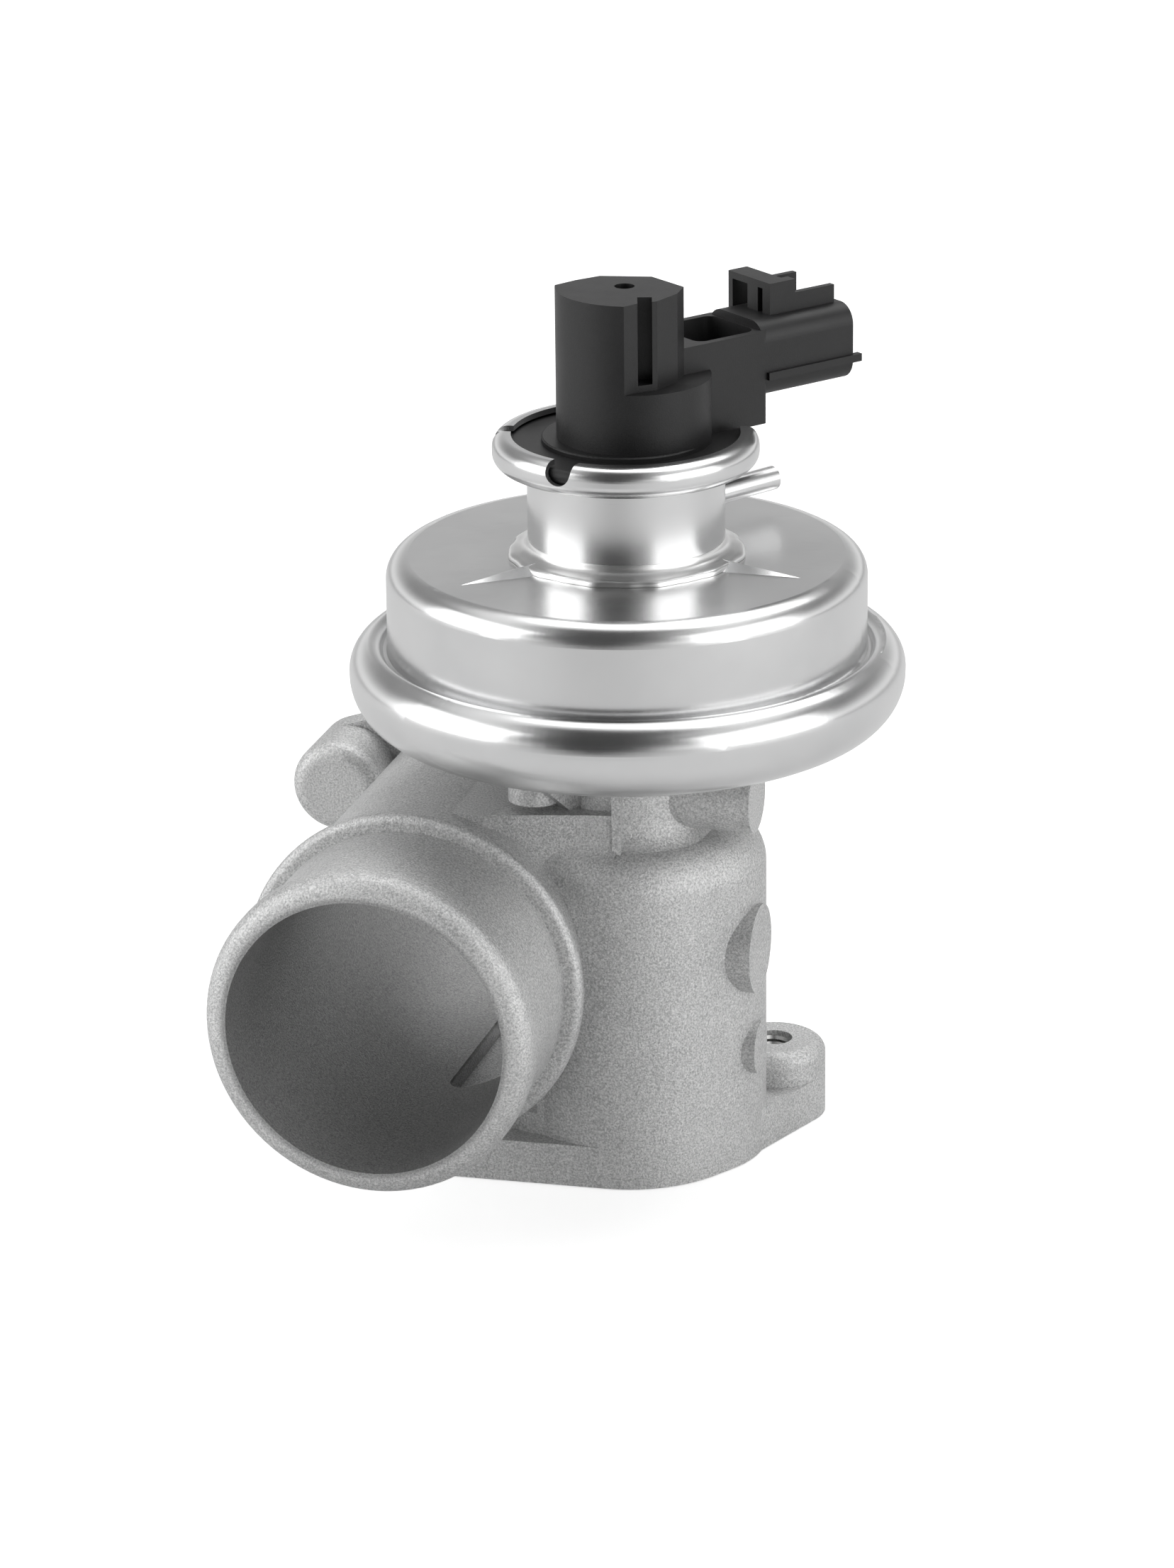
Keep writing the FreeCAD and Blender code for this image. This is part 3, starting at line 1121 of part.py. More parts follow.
def sensor_seal():
    """O-ring on the sensor's spigot."""
    middle_z = SPIGOT_BOTTOM_Z + 2.0 + 1.25 * O_RING_TUBE
    return Part.makeTorus(SPIGOT_BODY_RADIUS - O_RING_TUBE + O_RING_GAP + 0.05, O_RING_TUBE - 0.05,
                          Vector(0, 0, middle_z), UP)


def sensor_cover():
    """Plate that closes the spigot and guides the plunger."""
    return tube_ring(PLUNGER_RADIUS + PLUNGER_CLEARANCE, SPIGOT_BODY_RADIUS - SPIGOT_WALL, COVER_BOTTOM_Z,
                     COVER_TOP_Z)


def sensor_plunger():
    """Plunger that rests on the stem's end, with its spring collar and upper pin."""
    tip = STEM_TOP_Z + PLUNGER_TIP_GAP
    collar_top = PLUNGER_COLLAR_Z + PLUNGER_COLLAR_HEIGHT
    return revolved([(0, tip), (PLUNGER_RADIUS, tip), (PLUNGER_RADIUS, PLUNGER_COLLAR_Z),
                     (PLUNGER_COLLAR_RADIUS, PLUNGER_COLLAR_Z), (PLUNGER_COLLAR_RADIUS, collar_top),
                     (PLUNGER_TOP_RADIUS, collar_top), (PLUNGER_TOP_RADIUS, collar_top + PLUNGER_TOP_LENGTH),
                     (0, collar_top + PLUNGER_TOP_LENGTH)], [0, 0.6, 0, 0, 0, 0, 0.5, 0])


def plunger_spring():
    """Spring that keeps the plunger on the stem."""
    low = PLUNGER_COLLAR_Z + PLUNGER_COLLAR_HEIGHT + SPRING_END_GAP
    return coil_spring(PLUNGER_SPRING_RADIUS, PLUNGER_SPRING_WIRE, PLUNGER_SPRING_TURNS, low,
                       SENSOR_ROOF_Z - SPRING_END_GAP)


def wiper():
    """Contact on the plunger's collar, a hair off the track board."""
    z = PLUNGER_COLLAR_Z + (PLUNGER_COLLAR_HEIGHT - WIPER_HEIGHT) / 2
    tip_y = BOARD_FACE_Y + WIPER_GAP
    block = Part.makeBox(WIPER_WIDTH, -tip_y, WIPER_HEIGHT, Vector(-WIPER_WIDTH / 2, tip_y, z))
    block = block.cut(cylinder(PLUNGER_COLLAR_RADIUS, Vector(0, 0, z - 1), UP, WIPER_HEIGHT + 2))
    return turned(block, SENSOR_TURN)


def track_board():
    """Resistor board that the wiper reads."""
    board = Part.makeBox(BOARD_WIDTH, BOARD_THICKNESS, BOARD_TOP_Z - BOARD_BOTTOM_Z,
                         Vector(BOARD_CENTRE_X - BOARD_WIDTH / 2, BOARD_FACE_Y - BOARD_THICKNESS,
                                BOARD_BOTTOM_Z))
    return turned(board, SENSOR_TURN)


def outlet_seal():
    """O-ring in the outlet flange's groove."""
    ring = Part.makeTorus(OUTLET_GROOVE_INNER + OUTLET_GROOVE_WIDTH / 2, OUTLET_RING_TUBE,
                          Vector(0, 0, OUTLET_DISTANCE - OUTLET_GROOVE_DEPTH + OUTLET_RING_TUBE + 0.02), UP)
    return along_duct(ring)


NODES = [valve_housing, valve_seat, valve_head, valve_stem, stem_guide, deposit_shield, stem_seal, seal_retainer,
         actuator_gasket, lower_shell, actuator_screws, upper_shell, diaphragm, lower_plate, upper_plate,
         plate_washer, stem_nut, return_spring, spring_seat, sensor_cup, vacuum_pipe, sensor_body,
         connector_terminals, sensor_seal, sensor_cover, sensor_plunger, plunger_spring, wiper, track_board,
         outlet_seal]


def main():
    """Write each piece to parts/ under its own name."""
    os.makedirs("parts", exist_ok=True)
    for build in NODES:
        shape = build()
        print(build.__name__, len(shape.Solids), shape.isValid(), round(shape.Volume, 1))
        shape.exportStep("parts/" + build.__name__ + ".step")


main()
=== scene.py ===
"""Finishes, fine details and studio for a vacuum operated exhaust gas recirculation valve.

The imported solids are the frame. Each sub-assembly is a class that dresses its solids and models the
fine pieces that sit on them. Sizes are in metres, in the axes of the frame, unless they say otherwise.
"""

from __future__ import annotations

import logging
import math
from dataclasses import dataclass
from enum import Enum

import bpy
from mathutils import Matrix, Vector


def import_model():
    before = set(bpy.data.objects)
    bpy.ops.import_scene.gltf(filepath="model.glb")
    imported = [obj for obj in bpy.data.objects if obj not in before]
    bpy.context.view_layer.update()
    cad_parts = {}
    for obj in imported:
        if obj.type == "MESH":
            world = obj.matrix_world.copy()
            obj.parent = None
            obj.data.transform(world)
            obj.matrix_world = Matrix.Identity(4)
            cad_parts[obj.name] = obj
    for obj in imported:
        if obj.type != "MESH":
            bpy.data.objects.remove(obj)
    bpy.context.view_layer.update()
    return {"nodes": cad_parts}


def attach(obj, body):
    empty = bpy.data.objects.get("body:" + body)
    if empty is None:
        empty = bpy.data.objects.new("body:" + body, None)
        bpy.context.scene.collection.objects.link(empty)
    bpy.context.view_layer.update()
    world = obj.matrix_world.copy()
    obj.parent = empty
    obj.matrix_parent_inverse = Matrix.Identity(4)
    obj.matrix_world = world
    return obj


LOG = logging.getLogger("egr_valve")
MM = 0.001
SAME_POINT = 0.004 * MM

# A point or direction, one factor for each axis, linear red, green and blue, the same with alpha, the two
# ends of a range, and the radius and height of a corner.
Place = tuple[float, float, float]
Axes = tuple[float, float, float]
Colour = tuple[float, float, float]
Tone = tuple[float, float, float, float]
Span = tuple[float, float]
Corner = tuple[float, float]
Socket = bpy.types.NodeSocket

FULL: Span = (0.0, 1.0)
MIDDLE: Span = (0.3, 0.7)


class Body(Enum):
    """Rigid body of the frame that the fine pieces ride on."""

    HOUSING = "housing"


class Slot(Enum):
    """Material slots of the record that the fine pieces belong to."""

    CASTING = "cast_housing"
    STEEL = "pressed_steel"


class Space(Enum):
    """Coordinates that a pattern or a shade follows."""

    OBJECT = "Object"
    DIRECTION = "Generated"


class Step(Enum):
    """Arithmetic steps of the node trees."""

    ADD = "ADD"
    MULTIPLY = "MULTIPLY"
    MAXIMUM = "MAXIMUM"
    ABSOLUTE = "ABSOLUTE"
    LENGTH = "LENGTH"
    ALONG = "DOT_PRODUCT"
    SCALE = "SCALE"


@dataclass(frozen=True)
class Cloud:
    """Cloudy pattern: clouds per metre, octaves and the weight of the finer octaves."""

    scale: float
    detail: float
    roughness: float


@dataclass(frozen=True)
class Relief:
    """Small relief: its depth in metres and the share of it that shows."""

    depth: float
    strength: float


def grey(level: float) -> Tone:
    """Grey without a tint.

    Args:
        level: 0 for black and 1 for white.

    Returns:
        The tone.
    """
    return level, level, level, 1.0


class NodeGraph:
    """Node tree with short calls for the nodes that the finishes and the studio share."""

    def __init__(self, tree: bpy.types.NodeTree) -> None:
        """Empty the tree.

        Args:
            tree: Tree of a material or a world.
        """
        self.nodes = tree.nodes
        self.links = tree.links
        self.nodes.clear()

    def coords(self, space: Space) -> Socket:
        """Coordinates of the surface, or the direction of a ray in the world.

        Args:
            space: Which coordinates.

        Returns:
            The vector.
        """
        return self.nodes.new("ShaderNodeTexCoord").outputs[space.value]

    def math(self, step: Step, first: Socket, second: Socket | float = 0.0) -> Socket:
        """One arithmetic step on two values.

        Args:
            step: The step.
            first: A value.
            second: The other value, or a number.

        Returns:
            The result.
        """
        node = self.nodes.new("ShaderNodeMath")
        node.operation = step.value
        self.links.new(first, node.inputs[0])
        self.feed(second, node.inputs[1])
        return node.outputs["Value"]

    def vector(self, step: Step, first: Socket, second: Place = (0.0, 0.0, 0.0)) -> bpy.types.Node:
        """One arithmetic step on a vector and a constant one.

        Args:
            step: The step.
            first: The vector.
            second: The constant vector.

        Returns:
            The node, with a value or a vector as its result.
        """
        node = self.nodes.new("ShaderNodeVectorMath")
        node.operation = step.value
        self.links.new(first, node.inputs[0])
        node.inputs[1].default_value = second
        return node

    def feed(self, value: Socket | Tone | float, socket: Socket) -> None:
        """Feed a socket from another one, or set its constant.

        Args:
            value: The other socket, or the constant.
            socket: The socket to feed.
        """
        if isinstance(value, bpy.types.NodeSocket):
            self.links.new(value, socket)
        else:
            socket.default_value = value

    def spread(self, value: Socket, source: Span, target: Span, soft: bool = False) -> Socket:
        """Map a range of values to another one.

        Args:
            value: The values.
            source: Lowest and highest value to read.
            target: What they become.
            soft: Whether the ends run out softly.

        Returns:
            The mapped values, held inside the target.
        """
        node = self.nodes.new("ShaderNodeMapRange")
        node.interpolation_type = "SMOOTHSTEP" if soft else "LINEAR"
        node.inputs["From Min"].default_value = source[0]
        node.inputs["From Max"].default_value = source[1]
        node.inputs["To Min"].default_value = target[0]
        node.inputs["To Max"].default_value = target[1]
        self.links.new(value, node.inputs["Value"])
        return node.outputs["Result"]

    def blend(self, factor: Socket, low: Socket | Tone, high: Tone) -> Socket:
        """Colour between two tones.

        Args:
            factor: 0 for the low tone and 1 for the high one.
            low: A tone, or the colour of another node.
            high: The other tone.

        Returns:
            The colour.
        """
        node = self.nodes.new("ShaderNodeMix")
        node.data_type = "RGBA"
        colours = [socket for socket in node.inputs if socket.type == "RGBA"]
        self.feed(low, colours[0])
        self.feed(high, colours[1])
        self.links.new(factor, node.inputs["Factor"])
        return next(socket for socket in node.outputs if socket.type == "RGBA")

    def added(self, first: Socket, second: Socket) -> Socket:
        """Sum of two shaders.

        Args:
            first: A shader.
            second: The other one.

        Returns:
            The shader.
        """
        node = self.nodes.new("ShaderNodeAddShader")
        self.links.new(first, node.inputs[0])
        self.links.new(second, node.inputs[1])
        return node.outputs["Shader"]

    def for_camera(self, seen: Socket, unseen: Socket) -> Socket:
        """One shader for the camera and another for all other rays.

        Args:
            seen: Shader that the camera sees.
            unseen: The other one.

        Returns:
            The shader.
        """
        rays = self.nodes.new("ShaderNodeLightPath")
        node = self.nodes.new("ShaderNodeMixShader")
        self.links.new(rays.outputs["Is Camera Ray"], node.inputs[0])
        self.links.new(unseen, node.inputs[1])
        self.links.new(seen, node.inputs[2])
        return node.outputs["Shader"]

    def mirrored_rays(self) -> Socket:
        """Mark, 1 or 0, of the rays that metal and glass show."""
        rays = self.nodes.new("ShaderNodeLightPath")
        return self.math(Step.MAXIMUM, rays.outputs["Is Glossy Ray"], rays.outputs["Is Transmission Ray"])


class FinishGraph(NodeGraph):
    """Node tree of one finish of the valve."""

    def __init__(self, name: str, metallic: float = 0.0) -> None:
        """Start a material with the shader in place.

        Args:
            name: Name of the material.
            metallic: Share of metal in it.
        """
        self.material = bpy.data.materials.new(name)
        self.material.use_nodes = True
        super().__init__(self.material.node_tree)
        output = self.nodes.new("ShaderNodeOutputMaterial")
        self.shader = self.nodes.new("ShaderNodeBsdfPrincipled")
        self.shader.inputs["Metallic"].default_value = metallic
        self.links.new(self.shader.outputs["BSDF"], output.inputs["Surface"])
        self.place = self.coords(Space.OBJECT)

    def stretched(self, scale: Axes) -> Socket:
        """Object coordinates, stretched along the axes.

        Args:
            scale: Factor on each axis.

        Returns:
            The mapped vector.
        """
        return self.vector(Step.MULTIPLY, self.place, scale).outputs["Vector"]

    def distance(self, centre: Place, across: Axes) -> Socket:
        """Distance from an axis.

        Args:
            centre: A point on the axis.
            across: 1 on the two axes that lie across it, and 0 along it.

        Returns:
            The distance.
        """
        shifted = self.vector(Step.ADD, self.place, tuple(-c for c in centre))
        flat = self.vector(Step.MULTIPLY, shifted.outputs["Vector"], across)
        return self.vector(Step.LENGTH, flat.outputs["Vector"]).outputs["Value"]

    def turned(self) -> Socket:
        """Radius and height about Z, which only change across the lathe lines of a turned piece."""
        split = self.nodes.new("ShaderNodeSeparateXYZ")
        self.links.new(self.place, split.inputs["Vector"])
        joined = self.nodes.new("ShaderNodeCombineXYZ")
        self.links.new(self.distance((0.0, 0.0, 0.0), (1.0, 1.0, 0.0)), joined.inputs["X"])
        self.links.new(split.outputs["Z"], joined.inputs["Y"])
        return joined.outputs["Vector"]

    def noise(self, vector: Socket, cloud: Cloud) -> Socket:
        """Cloudy pattern.

        Args:
            vector: Coordinates.
            cloud: Size and make of the clouds.

        Returns:
            A value about 0.5.
        """
        node = self.nodes.new("ShaderNodeTexNoise")
        node.inputs["Scale"].default_value = cloud.scale
        node.inputs["Detail"].default_value = cloud.detail
        node.inputs["Roughness"].default_value = cloud.roughness
        self.links.new(vector, node.inputs["Vector"])
        return node.outputs["Fac"]

    def cells(self, scale: float) -> Socket:
        """Distance to the nearest of scattered points.

        Args:
            scale: Points per metre.

        Returns:
            The distance, from 0 at a point.
        """
        node = self.nodes.new("ShaderNodeTexVoronoi")
        node.inputs["Scale"].default_value = scale
        self.links.new(self.place, node.inputs["Vector"])
        return node.outputs["Distance"]

    def skin(self, pattern: Socket, span: Span, low: Colour, high: Colour) -> Socket:
        """Skin between two colours, fed to the shader.

        Args:
            pattern: The pattern that mixes them.
            span: Values of the pattern for the low colour and for the high one.
            low: The low colour.
            high: The high colour.

        Returns:
            The colour.
        """
        colour = self.blend(self.spread(pattern, span, FULL), (*low, 1.0), (*high, 1.0))
        self.links.new(colour, self.shader.inputs["Base Color"])
        return colour

    def darken(self, colour: Socket, factor: Socket) -> None:
        """Feed the shader a colour made darker, as painted shade.

        Args:
            colour: The colour.
            factor: 1 to keep it and 0 for black.
        """
        node = self.vector(Step.SCALE, colour)
        self.links.new(factor, node.inputs["Scale"])
        self.links.new(node.outputs["Vector"], self.shader.inputs["Base Color"])

    def rough(self, pattern: Socket, middle: float, swing: Span) -> None:
        """Feed the roughness.

        Args:
            pattern: Cloudy pattern.
            middle: Plain roughness of the finish.
            swing: How far the low and the high parts of the pattern lie from it.
        """
        target = (middle + swing[0], middle + swing[1])
        self.links.new(self.spread(pattern, MIDDLE, target), self.shader.inputs["Roughness"])

    def relief(self, height: Socket, relief: Relief, under: Socket | None = None) -> Socket:
        """Small relief on the surface, fed to the shader.

        Args:
            height: Height pattern from 0 to 1.
            relief: Its depth and strength.
            under: A coarser relief that this one lies on.

        Returns:
            The bent normal, for a finer relief on top.
        """
        node = self.nodes.new("ShaderNodeBump")
        node.inputs["Distance"].default_value = relief.depth
        node.inputs["Strength"].default_value = relief.strength
        self.links.new(height, node.inputs["Height"])
        if under is not None:
            self.links.new(under, node.inputs["Normal"])
        self.links.new(node.outputs["Normal"], self.shader.inputs["Normal"])
        return node.outputs["Normal"]


@dataclass(frozen=True)
class BlastedCasting:
    """Shot blasted aluminium casting: matt, pale, with a fine pitted grain; its bore has painted shade, a
    darker colour inside it.
    """

    name: str = "blasted_casting"
    dark: Colour = (0.40, 0.403, 0.406)
    light: Colour = (0.82, 0.82, 0.815)
    metallic: float = 0.85
    roughness: float = 0.5
    roughness_swing: Span = (-0.04, 0.04)
    patches: Cloud = Cloud(34.0, 4.0, 0.55)
    speck: Cloud = Cloud(2600.0, 2.0, 0.8)
    speck_share: float = 0.82
    skin_span: Span = (0.36, 0.64)
    swell: Cloud = Cloud(240.0, 2.0, 0.5)
    swell_relief: Relief = Relief(0.0001, 0.25)
    pits: Cloud = Cloud(2600.0, 3.0, 0.75)
    pit_relief: Relief = Relief(0.00018, 0.85)
    bore_shade_share: float = 0.62
    bore_axis: Place = (-31.9 * MM, 0.0, 41.1 * MM)
    across_bore: Axes = (1.0, 0.0, 1.0)
    bore_radius: float = 25.9 * MM
    bore_edge: float = 0.8 * MM

    def build(self) -> bpy.types.Material:
        """The material."""
        graph = FinishGraph(self.name, self.metallic)
        patches = graph.noise(graph.place, self.patches)
        fine = graph.math(Step.MULTIPLY, graph.noise(graph.place, self.speck), self.speck_share)
        coarse = graph.math(Step.MULTIPLY, patches, 1.0 - self.speck_share)
        skin = graph.skin(graph.math(Step.ADD, fine, coarse), self.skin_span, self.dark, self.light)
        # Painted shade: the colour is darkened inside the bore, where the pipe lies in shade, and fades back
        # to the plain skin at the bore's wall.
        radius = graph.distance(self.bore_axis, self.across_bore)
        wall = (self.bore_radius, self.bore_radius + self.bore_edge)
        graph.darken(skin, graph.spread(radius, wall, (self.bore_shade_share, 1.0)))
        graph.rough(patches, self.roughness, self.roughness_swing)
        swell = graph.relief(graph.noise(graph.place, self.swell), self.swell_relief)
        graph.relief(graph.noise(graph.place, self.pits), self.pit_relief, swell)
        return graph.material


@dataclass(frozen=True)
class MachinedFace:
    """Turned metal with fine lathe lines about the valve's axis."""

    name: str
    plain: Colour
    worn: Colour
    roughness: float = 0.28
    roughness_swing: Span = (-0.06, 0.1)
    lines: Cloud = Cloud(5200.0, 2.0, 0.7)
    line_relief: Relief = Relief(0.000012, 0.6)
    stain: Cloud = Cloud(130.0, 4.0, 0.6)
    stain_span: Span = (0.35, 0.7)

    def build(self) -> bpy.types.Material:
        """The material."""
        graph = FinishGraph(self.name, 1.0)
        rings = graph.noise(graph.turned(), self.lines)
        graph.skin(graph.noise(graph.place, self.stain), self.stain_span, self.plain, self.worn)
        graph.rough(rings, self.roughness, self.roughness_swing)
        graph.relief(rings, self.line_relief)
        return graph.material


@dataclass(frozen=True)
class PressedSteel:
    """Bright zinc plated sheet: drawn lines round its axis, faint peel and soft handling marks."""

    name: str = "pressed_steel"
    dark: Colour = (0.70, 0.703, 0.706)
    light: Colour = (0.80, 0.80, 0.80)
    roughness: float = 0.23
    roughness_swing: Span = (-0.02, 0.04)
    clouds: Cloud = Cloud(28.0, 5.0, 0.62)
    cloud_span: Span = (0.3, 0.72)
    peel: Cloud = Cloud(150.0, 2.0, 0.5)
    peel_relief: Relief = Relief(0.00004, 0.16)
    streaks: Cloud = Cloud(620.0, 3.0, 0.6)
    streak_stretch: Axes = (1.0, 1.0, 0.06)
    streak_relief: Relief = Relief(0.000016, 0.55)
    rings: Cloud = Cloud(2600.0, 2.0, 0.7)
    ring_relief: Relief = Relief(0.000006, 0.4)

    def build(self) -> bpy.types.Material:
        """The material."""
        graph = FinishGraph(self.name, 1.0)
        clouds = graph.noise(graph.place, self.clouds)
        graph.skin(clouds, self.cloud_span, self.dark, self.light)
        graph.rough(clouds, self.roughness, self.roughness_swing)
        peel = graph.relief(graph.noise(graph.place, self.peel), self.peel_relief)
        streaks = graph.noise(graph.stretched(self.streak_stretch), self.streaks)
        wall = graph.relief(streaks, self.streak_relief, peel)
        graph.relief(graph.noise(graph.turned(), self.rings), self.ring_relief, wall)
        return graph.material


@dataclass(frozen=True)
class MouldedPlastic:
    """Glass filled plastic with a fine spark grain and slightly polished high spots."""

    name: str
    dark: Colour
    light: Colour
    roughness: float = 0.46
    grain: Cloud = Cloud(3600.0, 2.0, 0.6)
    roughness_swing: Span = (-0.05, 0.08)
    haze: Cloud = Cloud(75.0, 4.0, 0.6)
    haze_span: Span = (0.32, 0.7)
    flow: Cloud = Cloud(160.0, 2.0, 0.5)
    flow_stretch: Axes = (1.0, 1.0, 0.3)
    flow_relief: Relief = Relief(0.00004, 0.3)
    grain_relief: Relief = Relief(0.00003, 0.6)

    def build(self) -> bpy.types.Material:
        """The material."""
        graph = FinishGraph(self.name)
        haze = graph.noise(graph.place, self.haze)
        graph.skin(haze, self.haze_span, self.dark, self.light)
        graph.rough(haze, self.roughness, self.roughness_swing)
        flow = graph.relief(graph.noise(graph.stretched(self.flow_stretch), self.flow), self.flow_relief)
        graph.relief(graph.noise(graph.place, self.grain), self.grain_relief, flow)
        return graph.material


@dataclass(frozen=True)
class DullRubber:
    """Moulded rubber or fibre sheet, matt with a soft mottled skin."""

    name: str
    dark: Colour
    light: Colour
    roughness: float = 0.7
    roughness_swing: Span = (-0.08, 0.1)
    mottle: Cloud = Cloud(480.0, 4.0, 0.65)
    pores: float = 1500.0
    pore_relief: Relief = Relief(0.00004, 0.4)

    def build(self) -> bpy.types.Material:
        """The material."""
        graph = FinishGraph(self.name)
        mottle = graph.noise(graph.place, self.mottle)
        graph.skin(mottle, MIDDLE, self.dark, self.light)
        graph.rough(mottle, self.roughness, self.roughness_swing)
        graph.relief(graph.cells(self.pores), self.pore_relief)
        return graph.material


@dataclass(frozen=True)
class DrawnWire:
    """Spring, screw or pin metal with short draw marks."""

    name: str
    dark: Colour
    light: Colour
    roughness: float = 0.32
    roughness_swing: Span = (-0.08, 0.12)
    marks: Cloud = Cloud(900.0, 4.0, 0.7)
    mark_relief: Relief = Relief(0.00001, 0.5)

    def build(self) -> bpy.types.Material:
        """The material."""
        graph = FinishGraph(self.name, 1.0)
        marks = graph.noise(graph.place, self.marks)
        graph.skin(marks, MIDDLE, self.dark, self.light)
        graph.rough(marks, self.roughness, self.roughness_swing)
        graph.relief(marks, self.mark_relief)
        return graph.material


class FinishSet:
    """All the finishes of the valve, each built once."""

    def __init__(self) -> None:
        """Build the materials."""
        self.casting = BlastedCasting().build()
        self.pressed = PressedSteel().build()
        self.braze = PressedSteel("braze_flare", (0.76, 0.76, 0.757), (0.86, 0.86, 0.855), 0.3).build()
        self.sensor = MouldedPlastic("sensor_black", (0.006, 0.006, 0.0065), (0.015, 0.015, 0.0155)).build()
        self.inner_plastic = MouldedPlastic(
            "inner_plastic", (0.50, 0.48, 0.43), (0.60, 0.58, 0.53),
            roughness=0.5, grain=Cloud(2400.0, 2.0, 0.6)).build()
        self.board = MouldedPlastic(
            "coated_board", (0.012, 0.055, 0.022), (0.02, 0.085, 0.035),
            roughness=0.35, grain=Cloud(1800.0, 2.0, 0.6)).build()
        self.seat = MachinedFace("seat_steel", (0.42, 0.41, 0.40), (0.55, 0.54, 0.52)).build()
        self.stem = MachinedFace("ground_steel", (0.48, 0.47, 0.46), (0.62, 0.61, 0.59), 0.22).build()
        self.bush = MachinedFace("guide_bronze", (0.40, 0.25, 0.10), (0.55, 0.38, 0.17), 0.3).build()
        self.plate = MachinedFace(
            "plate_steel", (0.55, 0.55, 0.54), (0.68, 0.68, 0.67), 0.3, lines=Cloud(2400.0, 2.0, 0.7)).build()
        self.spring = DrawnWire("spring_wire", (0.26, 0.26, 0.27), (0.40, 0.40, 0.41)).build()
        self.cut_metal = DrawnWire("cut_aluminium", (0.34, 0.34, 0.34), (0.56, 0.56, 0.55), 0.3).build()
        self.screw = DrawnWire("screw_steel", (0.50, 0.50, 0.50), (0.66, 0.66, 0.65), 0.3).build()
        self.contact = DrawnWire("contact_metal", (0.50, 0.42, 0.24), (0.64, 0.56, 0.36), 0.28).build()
        self.rubber = DullRubber("seal_rubber", (0.012, 0.012, 0.013), (0.03, 0.03, 0.031)).build()
        self.gasket = DullRubber("gasket_fibre", (0.11, 0.11, 0.10), (0.19, 0.19, 0.18), 0.8).build()


class Sculptor:
    """Short calls for shaping the fine pieces."""

    @staticmethod
    def loop(name: str, profile: list[Corner]) -> bpy.types.Object:
        """Closed outline in the plane of X and Z.

        Args:
            name: Name of the piece.
            profile: Radius and height of its corners, in order round it.

        Returns:
            The piece.
        """
        bpy.ops.object.select_all(action="DESELECT")
        bpy.ops.mesh.primitive_circle_add(vertices=len(profile), radius=MM, fill_type="NOTHING")
        piece = bpy.context.active_object
        piece.name = name
        for vertex, (radius, height) in zip(piece.data.vertices, profile):
            vertex.co = (radius, 0.0, height)
        return piece

    @staticmethod
    def lathe(name: str, profile: list[Corner], steps: int) -> bpy.types.Object:
        """Closed ring about Z, spun from a profile.

        Args:
            name: Name of the piece.
            profile: Radius and height of the profile's corners.
            steps: Sections of the ring.

        Returns:
            The piece.
        """
        piece = Sculptor.loop(name, profile)
        bpy.ops.object.mode_set(mode="EDIT")
        bpy.ops.mesh.select_all(action="SELECT")
        bpy.ops.mesh.spin(steps=steps, angle=math.tau, center=(0, 0, 0), axis=(0, 0, 1))
        bpy.ops.mesh.select_all(action="SELECT")
        bpy.ops.mesh.remove_doubles(threshold=SAME_POINT)
        bpy.ops.mesh.normals_make_consistent(inside=False)
        bpy.ops.object.mode_set(mode="OBJECT")
        return piece

    @staticmethod
    def winding(name: str, profile: list[Corner], pitch: float, turns: int, steps: int) -> bpy.types.Object:
        """Ridge that winds up about Z.

        Args:
            name: Name of the piece.
            profile: Radius and height of the ridge's corners.
            pitch: Rise of one turn.
            turns: Number of turns.
            steps: Sections of one turn.

        Returns:
            The piece.
        """
        piece = Sculptor.loop(name, profile)
        screw = piece.modifiers.new("winding", "SCREW")
        screw.screw_offset = pitch
        screw.iterations = turns
        screw.steps = steps
        screw.render_steps = steps
        screw.use_normal_calculate = True
        bpy.ops.object.modifier_apply(modifier="winding")
        bpy.ops.object.mode_set(mode="EDIT")
        bpy.ops.mesh.select_all(action="SELECT")
        bpy.ops.mesh.normals_make_consistent(inside=False)
        bpy.ops.object.mode_set(mode="OBJECT")
        return piece

    @staticmethod
    def finish(piece: bpy.types.Object, material: bpy.types.Material, slot: Slot, angle: float) -> None:
        """Smooth and dress a piece, and fix it to the housing.

        Args:
            piece: The piece.
            material: Its finish.
            slot: Material slot of the record; not used.
            angle: Edges sharper than this stay sharp, in degrees.
        """
        bpy.ops.object.select_all(action="DESELECT")
        piece.select_set(True)
        bpy.context.view_layer.objects.active = piece
        bpy.ops.object.transform_apply(location=True, rotation=True, scale=True)
        bpy.ops.object.shade_smooth_by_angle(angle=math.radians(angle))
        piece.data.materials.clear()
        piece.data.materials.append(material)
        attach(piece, Body.HOUSING.value)
        LOG.info("piece %s: %d faces", piece.name, len(piece.data.polygons))


@dataclass
class SubAssembly:
    """A group of frame solids and the fine pieces on them."""

    nodes: dict[str, bpy.types.Object]
    finishes: FinishSet

    def dress(self, looks: dict[str, bpy.types.Material]) -> None:
        """Give frame solids their finishes.

        Args:
            looks: The finish of each solid, by the solid's name.
        """
        for node, material in looks.items():
            mesh = self.nodes[node].data
            mesh.materials.clear()
            mesh.materials.append(material)
            LOG.info("dressed %s with %s", node, material.name)


